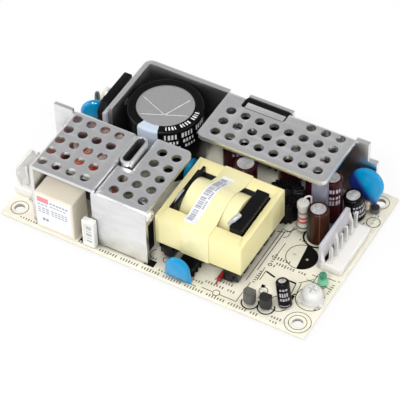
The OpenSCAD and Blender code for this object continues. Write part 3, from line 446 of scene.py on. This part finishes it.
def addRing(bm, x, y, radius, width, start=0.0, sweep=360.0, z0=boardTop, height=inkThick):  # ring or arc
    middle = spot(x, y, z0)
    turned = Matrix.Rotation(math.radians(start), 3, "Z")
    size = Vector((width, height)) / 1000
    corner = middle + turned @ Vector((radius / 1000, 0, height / 2000))
    upright = Matrix.Translation(corner) @ turned.to_4x4() @ Matrix.Rotation(math.radians(90), 4, "X")
    matrix = upright @ Matrix.Diagonal((*size, 1, 1))
    section = bmesh.ops.create_grid(bm, x_segments=1, y_segments=1, size=0.5, matrix=matrix)["verts"]
    caps = [section[0].link_faces[0]]
    rim = caps[0].edges[:]
    closed = sweep == 360.0
    if closed:
        bmesh.ops.delete(bm, geom=caps, context="FACES_ONLY")
        caps = []
    steps = max(4, int(sweep / 9))
    bmesh.ops.spin(bm, geom=section + rim + caps, cent=middle, axis=(0, 0, 1), angle=math.radians(sweep),
                   steps=steps, use_merge=closed)


def sectionAt(path, index, last):
    before = path[max(index - 1, 0)]
    after = path[min(index + 1, len(path) - 1)]
    tangent = (after - before).normalized()
    turn = last[0].rotation_difference(tangent).to_matrix() @ last[1]
    return (tangent, turn), Matrix.Translation(path[index]) @ turn.to_4x4()


def addTube(bm, places, radius, sides):  # round wire or sleeve along a path of places
    path = [spot(*place) for place in places]
    first = (path[1] - path[0]).normalized()
    state = (first, Vector((0, 0, 1)).rotation_difference(first).to_matrix())
    matrix = Matrix.Translation(path[0]) @ state[1].to_4x4()
    ring = bmesh.ops.create_circle(bm, cap_ends=True, segments=sides, radius=radius / 1000, matrix=matrix)
    face = ring["verts"][0].link_faces[0]
    for index in range(1, len(path)):
        state, following = sectionAt(path, index, state)
        grown = bmesh.ops.extrude_face_region(bm, geom=[face], use_keep_orig=index == 1)["geom"]
        verts = [v for v in grown if isinstance(v, bmesh.types.BMVert)]
        bmesh.ops.transform(bm, matrix=following @ matrix.inverted(), verts=verts)
        face = [f for f in grown if isinstance(f, bmesh.types.BMFace)][0]
        matrix = following


def uneven(i, low, spread, stride, sizes):  # goes round a few sizes from low to low + spread
    return low + spread * ((i * stride) % sizes) / (sizes - 1)


legend = {
    "rings": [  # x, y, radius, width of the line
        (5.08, 5.08, 3.3, 0.22), (121.92, 5.08, 3.3, 0.22), (5.08, 71.12, 3.3, 0.22),
        (121.92, 71.12, 3.3, 0.22), (121.92, 5.08, 4.8, 0.24), (108.8, 33.2, 5.9, 0.26),
        (124, 60.9, 2.5, 0.28), (111.9, 9.6, 3.6, 0.3), (104.2, 12.4, 1.6, 0.26), (89.8, 3.4, 1.3, 0.26),
        (66.4, 8.6, 1.4, 0.26)],
    "arcs": [  # x, y, radius, width of the line, first degree, sweep
        (116.6, 60.9, 5, 0.3, 190, 150), (109.4, 44.6, 5.2, 0.7, 170, 170), (93.6, 47.6, 7.6, 0.3, -80, 80),
        (102.6, 5.2, 3.1, 0.5, 180, 220), (108.8, 5.8, 3.1, 0.5, 180, 220), (121, 17, 5.6, 0.3, 150, 190),
        (61.8, 9.2, 2.4, 0.26, 120, 160), (116.4, 14.6, 2.2, 0.5, 120, 110)],
    "strokes": [  # x and y of one end, x and y of the other, width
        (96.3, 13.7, 96.3, 42, 0.26), (97.6, 20, 97.6, 41, 0.26), (96.3, 42, 99.4, 42, 0.26),
        (98.2, 13.7, 98.2, 8, 0.26), (84, 3.2, 88.2, 3.2, 0.26), (91.2, 3.2, 98, 3.2, 0.26),
        (98, 3.2, 98, 8, 0.26), (100.8, 21, 104.8, 19.9, 0.75), (108.8, 20.9, 112.9, 20.9, 0.7),
        (112.9, 20.9, 113.6, 15.7, 0.3), (114.6, 21.8, 115.2, 17.1, 0.3), (99.8, 15.7, 99.4, 22.4, 0.26),
        (100.6, 16.2, 100.5, 21.4, 0.26), (104.1, 8.4, 105.3, 11.2, 0.3), (105.3, 11.2, 105.8, 7.9, 0.3),
        (118, 24, 118, 28.6, 0.26), (118, 28.6, 125, 28.6, 0.26), (99.6, 45, 99.6, 39.6, 0.26),
        (98.4, 38.4, 99.6, 39.6, 0.26), (116, 27.4, 120, 27.4, 0.26), (79, 2.6, 82, 2.6, 0.26),
        (115.4, 24.4, 125.6, 24.4, 0.24), (113.6, 21.6, 117.6, 25.6, 0.26), (100.4, 29.6, 100.4, 36.4, 0.24),
        (113.4, 40.2, 114.8, 40.2, 0.5), (110, 64.2, 114, 64.2, 0.3)],
    "blocks": [  # from x, to x, from y, to y
        (59.8, 63.8, 3, 6), (102.4, 103.8, 13.6, 14.9), (114.2, 115.4, 13.2, 15.4), (33.2, 34.6, 1.8, 4.6)],
}


def buildLegend():
    bm = bmesh.new()
    for ring in legend["rings"] + legend["arcs"]:
        addRing(bm, *ring)
    for stroke in legend["strokes"]:
        addStroke(bm, *stroke)
    for block in legend["blocks"]:
        addSlab(bm, *block, boardTop, boardTop + inkThick)
    finishPiece("board_legend", bm, "legendInk")


legendMarks = {
    "pitch": 1.12, "width": 0.46, "drop": 0.12, "gapEvery": 8, "shortest": 0.7, "spread": 0.35,
    "rows": [  # first x, y, length, height of the marks, turn in degrees
        (33.4, 1.35, 76, 1.5, 0), (8, 1.5, 9, 1.0, 0), (6.2, 10.4, 3.2, 0.9, 0), (99.4, 28.6, 8.4, 1.5, 0),
        (102.4, 26.2, 9.6, 1.5, 0), (99.8, 24.6, 4.4, 1.2, 0), (84, 6.6, 13.4, 1.3, 0),
        (86.4, 9.2, 9, 1.2, 0), (112.6, 3.2, 5, 1.2, 0), (113, 1.2, 3.6, 1.0, 0), (60.4, 7.2, 4, 1.2, 0),
        (66.4, 3.2, 4.4, 1.2, 0),
        (79.6, 5.2, 5, 1.2, 0), (98.9, 14.4, 7, 1.2, 90), (100.2, 24, 7, 1.1, 90), (124.4, 13.2, 8, 1.3, 90),
        (122.4, 22.4, 4.2, 1.1, 90), (125, 22, 6, 1.2, 90), (126, 29, 1.6, 1.0, 90),
        (111.4, 26.4, 4, 1.1, 0), (104.4, 40.6, 3.4, 1.2, 0), (123.2, 64.6, 2.6, 1.0, 0),
        (99.4, 47.2, 6, 1.2, 90)],
}


def buildLegendMarks():  # plain marks of uneven length, with gaps, in place of lettering
    bm = bmesh.new()
    every = legendMarks["gapEvery"]
    for x, y, length, tall, turn in legendMarks["rows"]:
        along = Vector((math.cos(math.radians(turn)), math.sin(math.radians(turn))))
        upward = Vector((-along.y, along.x))
        for i in range(int(length / legendMarks["pitch"])):
            rise = tall * uneven(i, legendMarks["shortest"], legendMarks["spread"], 5, 4)
            at = Vector((x, y)) + along * i * legendMarks["pitch"] - upward * legendMarks["drop"]
            half = upward * rise / 2
            if i % every != every - 1:
                addStroke(bm, *(at - half), *(at + half), legendMarks["width"])
    finishPiece("board_marks", bm, "faintInk")


filledMark = {"place": (108.8, 33.2), "radius": 5.75, "facing": (0.99, 0.12, 0)}


def buildFilledMark():  # filled half of the empty capacitor place
    bm = bmesh.new()
    middle = spot(*filledMark["place"], boardTop)
    bmesh.ops.create_circle(bm, cap_ends=True, segments=64, radius=filledMark["radius"] / 1000,
                            matrix=Matrix.Translation(middle))
    bmesh.ops.bisect_plane(bm, geom=bm.verts[:] + bm.edges[:] + bm.faces[:], plane_co=middle,
                           plane_no=filledMark["facing"], clear_inner=True)
    raised = bmesh.ops.extrude_face_region(bm, geom=bm.faces[:])["geom"]
    verts = [v for v in raised if isinstance(v, bmesh.types.BMVert)]
    bmesh.ops.translate(bm, vec=(0, 0, inkThick / 1000), verts=verts)
    finishPiece("filled_mark", bm, "legendInk")


solderDots = {"radius": 0.55, "flatness": 0.35, "places": [
    (111.1, 33), (106, 33), (124, 60), (124, 62), (122.6, 64.4), (104.9, 12.4), (103.5, 12.4)]}


def buildSolderDots():
    bm = bmesh.new()
    flat = Matrix.Diagonal((1, 1, solderDots["flatness"], 1))
    for x, y in solderDots["places"]:
        bmesh.ops.create_uvsphere(bm, u_segments=14, v_segments=8, radius=solderDots["radius"] / 1000,
                                  matrix=Matrix.Translation(spot(x, y, boardTop)) @ flat)
    finishPiece("solder_dots", bm, "tinned")


buildLegend()
buildLegendMarks()
buildFilledMark()
buildSolderDots()
print("board legend built")

boxLabel = {
    "x": (15.9, 30.9), "z": (2.6, 18.9), "y": 0.8, "thick": 0.04, "corner": 0.4, "ink": 0.02,
    "block": (0.7, 5.6, 3.4, 0.8),  # from and to along the label, its lower and upper edge below the top
    "barPitch": 1.3, "barShare": 0.72,
    "rows": [  # from and to along the label, how far below the top, height
        (6.2, 14.2, 2.2, 0.7), (0.9, 5.4, 4.4, 0.5), (6.2, 13.4, 4.0, 0.4), (0.9, 6, 6.2, 0.45),
        (6.6, 13.8, 6.2, 0.45), (0.9, 6, 7.3, 0.45), (6.6, 13.8, 7.3, 0.45), (0.9, 6, 8.4, 0.45),
        (6.6, 13.8, 8.4, 0.45), (2.6, 5.4, 11.6, 1.3)],
}


def buildBoxLabel():
    bm = bmesh.new()
    addSlab(bm, *boxLabel["x"], boxLabel["y"] - boxLabel["thick"], boxLabel["y"], *boxLabel["z"])
    corners = [e for e in bm.edges if abs((e.verts[0].co - e.verts[1].co).normalized().y) > 0.9]
    bmesh.ops.bevel(bm, geom=corners, offset=boxLabel["corner"] / 1000, offset_type="OFFSET", segments=3,
                    profile=0.5, affect="EDGES", material=-1)
    finishPiece("box_label", bm, "labelPaper")


def buildLabelPrint():
    left, top = boxLabel["x"][0], boxLabel["z"][1]
    face = boxLabel["y"] - boxLabel["thick"]
    depth = (face - boxLabel["ink"], face)
    bm = bmesh.new()
    first, last, lower, upper = boxLabel["block"]
    addSlab(bm, left + first, left + last, *depth, top - lower, top - upper)
    finishPiece("label_block", bm, "mutedRed")
    bm = bmesh.new()
    for first, last, down, tall in boxLabel["rows"]:
        count = max(1, int((last - first) / boxLabel["barPitch"]))
        step = (last - first) / count
        for i in range(count):
            addSlab(bm, left + first + i * step, left + first + (i + boxLabel["barShare"]) * step, *depth,
                    top - down - tall, top - down)
    finishPiece("label_bars", bm, "labelInk")


fuse = {"x": (36.9, 39.1), "y": (1.14, 1.2),
        "bars": [(3.6, 4.5), (5.4, 5.8), (6.6, 8.1), (8.8, 9.2), (10.0, 11.8)]}


def buildFuseWindow():
    bm = bmesh.new()
    for low, high in fuse["bars"]:
        addSlab(bm, *fuse["x"], *fuse["y"], low, high)
    finishPiece("fuse_window", bm, "wireSleeve")


buildBoxLabel()
buildLabelPrint()
buildFuseWindow()
print("box capacitor label built")

edgeBreaks = {
    "sharpFrom": 32, "segments": 2, "smoothAngle": 40,
    "widths": {
        "input_shield": 0.14, "front_heatsink": 0.14, "rear_heatsink": 0.16, "spring_clip": 0.14,
        "core_tape": 0.7, "winding_tape": 0.1, "transformer_bobbin": 0.15, "input_header_housing": 0.15,
        "output_header_housing": 0.15, "bridge_rectifier": 0.25, "box_fuse": 0.15, "circuit_board": 0.08},
}


def refine(nodeName, width):  # merged copy of a CAD node with its edges broken
    bm = bmesh.new()
    bm.from_mesh(nodeObjects[nodeName].data)
    bmesh.ops.remove_doubles(bm, verts=bm.verts, dist=2e-6)
    bmesh.ops.dissolve_limit(bm, angle_limit=math.radians(1), verts=bm.verts, edges=bm.edges)
    limit = math.radians(edgeBreaks["sharpFrom"])
    sharp = [e for e in bm.edges if e.is_manifold and e.calc_face_angle(0) > limit]
    bmesh.ops.bevel(bm, geom=sharp, offset=width / 1000, offset_type="OFFSET", affect="EDGES", profile=0.5,
                    segments=edgeBreaks["segments"], material=-1, clamp_overlap=True)
    piece = finishPiece(nodeName + "_dressed", bm, nodeFinish[nodeName],
                        smoothAngle=edgeBreaks["smoothAngle"])
    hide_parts(nodeName)


for nodeName, width in edgeBreaks["widths"].items():
    refine(nodeName, width)
print("edges broken:", len(edgeBreaks["widths"]))

transformer = {
    "axis": (24.5, 17.35), "legInside": 10.7, "halfThick": 6.85, "windingRadius": 10.6, "tape": 0.3,
    "overlap": (3.5, 1.0), "arcSteps": 24, "bandPoints": 60,
}


def bandProfile(lift, first=0.0, last=1.0):  # the tape's upper outline, front to back, lift above it
    half = transformer["legInside"]
    rise = transformer["halfThick"] + transformer["tape"] + lift
    radius = transformer["windingRadius"] + transformer["tape"] + lift
    angle = math.atan2(rise, half) + math.acos(radius / math.hypot(half, rise))
    points = [(-half - transformer["overlap"][0], rise), (-half, rise)]
    steps = transformer["arcSteps"]
    for i in range(steps + 1):
        turn = math.pi - angle + (2 * angle - math.pi) * i / steps
        points.append((radius * math.cos(turn), radius * math.sin(turn)))
    points += [(half, rise), (half + transformer["overlap"][1], rise)]
    lengths = [0.0]
    for a, b in zip(points, points[1:]):
        lengths.append(lengths[-1] + math.dist(a, b))
    places = []
    count = max(2, int(transformer["bandPoints"] * (last - first)))
    for i in range(count + 1):
        wanted = lengths[-1] * (first + (last - first) * i / count)
        k = max(j for j in range(len(points) - 1) if lengths[j] <= wanted + 1e-9)
        share = (wanted - lengths[k]) / (lengths[k + 1] - lengths[k])
        places.append([transformer["axis"][n] + points[k][n] + (points[k + 1][n] - points[k][n]) * share
                       for n in (0, 1)])
    return places


def addRibbon(bm, profile, x0, x1, thickness):  # thin strip whose outline runs in Y and Z
    verts = [bm.verts.new(spot(x0, y, z)) for y, z in profile]
    edges = [bm.edges.new(pair) for pair in zip(verts, verts[1:])]
    grown = bmesh.ops.extrude_edge_only(bm, edges=edges)["geom"]
    moved = [v for v in grown if isinstance(v, bmesh.types.BMVert)]
    bmesh.ops.translate(bm, vec=((x1 - x0) / 1000, 0, 0), verts=moved)
    faces = list({f for v in verts for f in v.link_faces})
    bmesh.ops.recalc_face_normals(bm, faces=faces)
    bmesh.ops.solidify(bm, geom=faces, thickness=thickness / 1000)


windingLabel = {
    "x": (73.0, 77.7), "lift": 0.02, "thick": 0.05, "inkLift": 0.09, "lean": 0.085,
    # places along the tape are shares of its length
    "bars": {"x": (73.7, 75.9), "from": 0.05, "to": 0.93, "gapEvery": 11,
             "widths": [0.010, 0.006, 0.013, 0.006, 0.009, 0.015, 0.006]},
    "marks": {"x": (76.3, 77.1), "from": 0.26, "pitch": 0.026, "width": 0.014, "count": 24, "gapEvery": 6},
}


def leanAlong(bm):  # the label sits slightly askew on the winding
    lean = windingLabel["lean"]
    start = spot(0, transformer["axis"][0] - transformer["legInside"]).y
    skew = Matrix(((1, lean, 0, -lean * start), (0, 1, 0, 0), (0, 0, 1, 0), (0, 0, 0, 1)))
    bmesh.ops.transform(bm, matrix=skew, verts=bm.verts)


def addLabelBar(bm, x, first, last):
    addRibbon(bm, bandProfile(windingLabel["inkLift"], first, last), *x, inkThick)


def buildWindingLabel():
    bm = bmesh.new()
    addRibbon(bm, bandProfile(windingLabel["lift"]), *windingLabel["x"], windingLabel["thick"])
    leanAlong(bm)
    finishPiece("winding_label", bm, "labelPaper")
    bm = bmesh.new()
    bars, marks = windingLabel["bars"], windingLabel["marks"]
    widths = bars["widths"]
    at, i = bars["from"], 0
    while at < bars["to"]:
        wide = widths[i % len(widths)]
        if i % bars["gapEvery"] != bars["gapEvery"] - 1:
            addLabelBar(bm, bars["x"], at, at + wide)
        at += wide + widths[(i + 3) % len(widths)]
        i += 1
    for i in range(marks["count"]):
        at = marks["from"] + i * marks["pitch"]
        if i % marks["gapEvery"] != marks["gapEvery"] - 1:
            addLabelBar(bm, marks["x"], at, at + marks["width"])
    leanAlong(bm)
    finishPiece("winding_label_bars", bm, "labelInk")


leads = {
    "sleeveRadius": 0.95, "wireRadius": 0.5,
    "sleeves": [[(88.7, 16.0, 25.2), (89.6, 16.9, 26.9), (90.3, 18.2, 27.5), (90.6, 19.8, 27.5)],
                [(65.9, 22.8, 24.3), (65.9, 21.0, 24.8), (65.9, 19.2, 24.2), (65.8, 18.0, 22.6)]],
    "wire": [(65.8, 18.1, 22.8), (65.7, 17.3, 21.0), (65.7, 16.9, 18.6)],
}


def buildLeads():
    bm = bmesh.new()
    for sleeve in leads["sleeves"]:
        addTube(bm, sleeve, leads["sleeveRadius"], 16)
    finishPiece("lead_sleeves", bm, "wireSleeve")
    bm = bmesh.new()
    addTube(bm, leads["wire"], leads["wireRadius"], 12)
    finishPiece("lead_wires", bm, "copperWire")


coreTape = {
    "ends": [(97.5, 97.56, 8.6, 31.5, 10.9, 23.6), (64.0, 72.9, 7.84, 7.9, 11.1, 23.8)],
    "left": (62.5, 64.9), "right": (97.5, 95.1), "front": (7.9, 13.8), "back": (41.1, 35.2),  # outer, inner
    "top": 24.2, "margin": 0.8, "foldWidth": 0.16, "secondWidth": 0.1,
}


def buildTapeFolds():  # cut ends of the tape, and its mitred folds at the corners of the core
    bm = bmesh.new()
    for end in coreTape["ends"]:
        addSlab(bm, *end)
    finishPiece("tape_ends", bm, "yellowTape")
    bm = bmesh.new()
    for side, face in (("left", "front"), ("right", "front"), ("right", "back"), ("left", "back")):
        (x, nearX), (y, nearY) = coreTape[side], coreTape[face]
        stepX = math.copysign(coreTape["margin"], nearX - x)
        stepY = math.copysign(coreTape["margin"], nearY - y)
        addStroke(bm, x + stepX, y + stepY, nearX - stepX * 0.2, nearY - stepY * 0.2,
                  coreTape["foldWidth"], coreTape["top"])
        addStroke(bm, x + stepX * 2.2, y + stepY, nearX - stepX * 0.2, nearY - stepY,
                  coreTape["secondWidth"], coreTape["top"])
    finishPiece("tape_folds", bm, "tapeFold")


buildWindingLabel()
buildLeads()
buildTapeFolds()
print("transformer trim built")

bulk = {
    "centre": (39.8, 55), "top": 28.0, "radius": 14.6, "vent": (2.1, -4.3), "ventWidth": 0.3,
    "ventDepth": 0.5, "ventRise": 0.2, "lines": {24: 8.6, 68: 12.0, 158: 12.4, 204: 8.4},  # degree: length
    "pitch": 5.2, "gapEvery": 5, "marks": (2.1, 1.3),
    "rows": [(-62, 3.9, 2.3, 15), (-60, 6.6, 1.5, 14), (-57, 9.2, 1.2, 12)],  # degree, drop, height, count
    "shoulder": {"radius": 12.6, "width": 1.7, "from": -60, "count": 14, "marks": (1.9, 1.2)},
}


def buildBulkTrim():
    bm = bmesh.new()
    x, y = (bulk["centre"][n] + bulk["vent"][n] for n in (0, 1))
    for angle, length in bulk["lines"].items():
        turn = math.radians(angle)
        addStroke(bm, x, y, x + length * math.cos(turn), y + length * math.sin(turn), bulk["ventWidth"],
                  bulk["top"] - bulk["ventDepth"], bulk["ventRise"])
    finishPiece("vent_lines", bm, "whitePrint")
    bm = bmesh.new()
    every, pitch = bulk["gapEvery"], bulk["pitch"]
    for start, down, tall, count in bulk["rows"]:
        for i in range(count):
            if i % every != every - 1:
                addRing(bm, *bulk["centre"], bulk["radius"] + inkLift, inkThick, start + i * pitch,
                        uneven(i, *bulk["marks"], 3, 4), bulk["top"] - down, tall)
    shoulder = bulk["shoulder"]
    for i in range(shoulder["count"]):
        if i % every != every - 1:
            addRing(bm, *bulk["centre"], shoulder["radius"], shoulder["width"], shoulder["from"] + i * pitch,
                    uneven(i, *shoulder["marks"], 1, 3), bulk["top"])
    finishPiece("sleeve_print", bm, "whitePrint")


buildBulkTrim()
print("bulk capacitor trim built")

legReflection = {  # each face from x, to x, from y, to y, from z, to z
    "front": (104.25, 110.05, 49.04, 49.09, 1.8, 27.8), "side": (110.11, 110.16, 49.2, 51.0, 1.8, 27.8)}


def buildLegReflection():  # painted reflection: bluish grey sheets on the rear heatsink's front leg, standing in for the dark and blue parts mirrored in it
    bm = bmesh.new()
    for face in legReflection.values():
        addSlab(bm, *face)
    finishPiece("leg_painted_reflection", bm, "legPaintedReflection")


buildLegReflection()
print("heatsink leg faced")

leaningPrint = {  # rows are height above the foot, height, first degree, width in degrees, count
    "small_cap_print": {
        "place": (114.4, 9.9, 2.17), "radius": 2.5, "tilt": 12, "toward": 150,
        "rows": [(1.0, 0.3, -112, 95, 1), (3.4, 1.1, -96, 15, 4), (5.2, 1.7, -96, 13, 4),
                 (7.9, 0.8, -92, 17, 3)]},
    "leaning_cap_print": {
        "place": (116.6, 60.9, 2.08), "radius": 3.8, "tilt": 6.5, "toward": 235,
        "rows": [(2.2, 1.2, -70, 10, 6), (4.4, 1.7, -72, 9, 7), (7.2, 1.0, -68, 11, 5)]},
}


def buildLeaningPrint(name, marks):
    bm = bmesh.new()
    x, y, z = marks["place"]
    for low, tall, start, wide, count in marks["rows"]:
        for i in range(count):
            addRing(bm, x, y, marks["radius"] + inkLift, inkThick, start + i * wide * 1.5, wide,
                    z + low, tall)
    foot = spot(x, y, z)
    turn = Matrix.Rotation(math.radians(marks["toward"]), 4, "Z")
    lean = turn @ Matrix.Rotation(math.radians(marks["tilt"]), 4, "Y") @ turn.inverted()
    leaning = Matrix.Translation(foot) @ lean @ Matrix.Translation(-foot)
    bmesh.ops.transform(bm, matrix=leaning, verts=bm.verts)
    finishPiece(name, bm, "sleevePrint")


sleevePrint = {
    "pitch": 17, "marks": (9, 3),
    "sleeves": [  # centre, radius, top, first degree, rows of (how far below the top, height), count
        ((101, 60.2), 4.4, 21, -70, [(4.5, 1.6), (7.5, 1.2), (10, 1.2)], 4),
        ((108.9, 56.4), 4.1, 22.5, -95, [(4.8, 1.8), (8, 1.3), (11, 2.2)], 5),
        ((66, 60.3), 4.4, 21, -70, [(5, 1.6), (8, 1.2)], 4),
        ((88.5, 62.2), 4.4, 21, -70, [(5, 1.6), (8, 1.2)], 4)],
}


def buildSleevePrint():
    bm = bmesh.new()
    for centre, radius, top, start, rows, count in sleevePrint["sleeves"]:
        for down, tall in rows:
            for i in range(count):
                addRing(bm, *centre, radius + inkLift, inkThick, start + i * sleevePrint["pitch"],
                        uneven(i, *sleevePrint["marks"], 1, 2), top - down, tall)
    finishPiece("small_sleeve_print", bm, "sleevePrint")


for name, marks in leaningPrint.items():
    buildLeaningPrint(name, marks)
buildSleevePrint()
print("sleeve print built")

windowShadow = {  # painted shadow: black strips in the slot round the heatsink window's flap, and a dark line along its front edge, where only shade is; from x, to x, from y, to y; the line along the front also from z, to z
    "left": (65.6, 67.1, 66.1, 69.0), "back": (65.6, 83.6, 69.05, 71.8), "z": (28.9, 29.4),
    "shadowLine": (67.4, 83.0, 65.9, 66.1, 29.99, 30.03)}


# black strips and a dark line of painted shadow in the heatsink window
def buildWindowShadow():
    bm = bmesh.new()
    for strip in (windowShadow["left"], windowShadow["back"]):
        addSlab(bm, *strip, *windowShadow["z"])
    addSlab(bm, *windowShadow["shadowLine"])
    finishPiece("window_painted_shadow", bm, "slotShadow")


# painted shadow in the heatsink window
buildWindowShadow()
print("heatsink window lined")

view = {"azimuth": 30.83, "elevation": 46.49, "roll": -1.77, "distance": 0.80626, "lens": 196.54,
        "shift": (0.0011, -0.0261), "target": (0, 0, 0.010), "sensor": 36, "nearest": 0.01}


def buildCamera():
    a, e, r = (math.radians(view[key]) for key in ("azimuth", "elevation", "roll"))
    back = Vector((math.sin(a) * math.cos(e), -math.cos(a) * math.cos(e), math.sin(e)))
    right = Vector((math.cos(a), math.sin(a), 0))
    up = back.cross(right)
    rolledRight = right * math.cos(r) + up * math.sin(r)
    rolledUp = up * math.cos(r) - right * math.sin(r)
    lens = bpy.data.cameras.new("camera")
    lens.sensor_width = view["sensor"]
    lens.lens = view["lens"]
    lens.shift_x, lens.shift_y = view["shift"]
    lens.clip_start = view["nearest"]
    camera = bpy.data.objects.new("camera", lens)
    turn = Matrix((rolledRight, rolledUp, back)).transposed().to_4x4()
    camera.matrix_world = Matrix.Translation(Vector(view["target"]) + back * view["distance"]) @ turn
    bpy.context.scene.collection.objects.link(camera)
    bpy.context.scene.camera = camera


studio = {
    "worldLight": 0.42, "ceiling": (0.44, 0.44, 0.445), "ceilingFrom": 0.15, "ceilingFull": 0.5,
    "floorSize": 6, "floorHeight": -0.0021, "floorColour": (0.9, 0.9, 0.9), "floorRough": 0.9,
    "floorShare": 0.88,  # how much of the floor is plain white to the camera, which leaves the shadow faint
    "lamps": {  # place, size and power
        "keyLamp": ((0.10, -0.75, 0.95), 0.2, 4.9), "fillLamp": ((0.52, -0.70, 0.95), 0.2, 4.9),
        "leftLamp": ((-1.2, -0.5, 0.8), 0.8, 8), "rightLamp": ((1.2, 0.3, 0.8), 0.8, 5)},
}


def directView(tree):  # 1 for camera, glossy and transmission rays
    path = addNode(tree, "LightPath")
    either = mathNode(tree, "MAXIMUM", path.outputs["Is Camera Ray"], path.outputs["Is Glossy Ray"])
    return mathNode(tree, "MAXIMUM", either, path.outputs["Is Transmission Ray"])


def buildWorld():
    world = bpy.data.worlds.new("studioWorld")
    bpy.context.scene.world = world
    world.use_nodes = True
    tree = world.node_tree
    tree.nodes.clear()
    heading = addNode(tree, "TexCoord")
    upward = addNode(tree, "SeparateXYZ", {0: heading.outputs["Generated"]})
    overhead = addNode(tree, "MapRange", {
        "Value": upward.outputs[2], "From Min": studio["ceilingFrom"], "From Max": studio["ceilingFull"]})
    sky = mixColour(tree, overhead.outputs[0], (1, 1, 1, 1), (*studio["ceiling"], 1))
    seen = addNode(tree, "Background", {"Color": sky, "Strength": 1})
    glow = addNode(tree, "Background", {"Color": (1, 1, 1, 1), "Strength": studio["worldLight"]})
    final = addNode(tree, "MixShader", {0: directView(tree), 1: glow.outputs[0], 2: seen.outputs[0]})
    out = addNode(tree, "OutputWorld")
    tree.links.new(final.outputs[0], out.inputs[0])


def buildLamps():
    for name, (place, size, power) in studio["lamps"].items():
        light = bpy.data.lights.new(name, "AREA")
        light.size = size
        light.energy = power
        lamp = bpy.data.objects.new(name, light)
        lamp.location = place
        lamp.rotation_euler = (-Vector(place)).to_track_quat("-Z", "Y").to_euler()
        bpy.context.scene.collection.objects.link(lamp)


def buildFloor():
    bm = bmesh.new()
    bmesh.ops.create_grid(bm, x_segments=1, y_segments=1, size=studio["floorSize"],
                          matrix=Matrix.Translation((0, 0, studio["floorHeight"])))
    mesh = bpy.data.meshes.new("floor")
    bm.to_mesh(mesh)
    bm.free()
    floor = bpy.data.objects.new("floor", mesh)
    bpy.context.scene.collection.objects.link(floor)
    paint = bpy.data.materials.new("floorPaint")
    paint.use_nodes = True
    tree = paint.node_tree
    shader = tree.nodes["Principled BSDF"]
    shader.inputs["Base Color"].default_value = (*studio["floorColour"], 1)
    shader.inputs["Roughness"].default_value = studio["floorRough"]
    white = addNode(tree, "Emission", {"Color": (1, 1, 1, 1), "Strength": 1})
    share = mathNode(tree, "MULTIPLY", directView(tree), studio["floorShare"])
    mixed = addNode(tree, "MixShader", {0: share, 1: shader.outputs[0], 2: white.outputs[0]})
    tree.links.new(mixed.outputs[0], tree.nodes["Material Output"].inputs[0])
    mesh.materials.append(paint)


buildCamera()
buildWorld()
buildLamps()
buildFloor()
bpy.context.scene.view_settings.view_transform = "Standard"
print("camera and studio set")
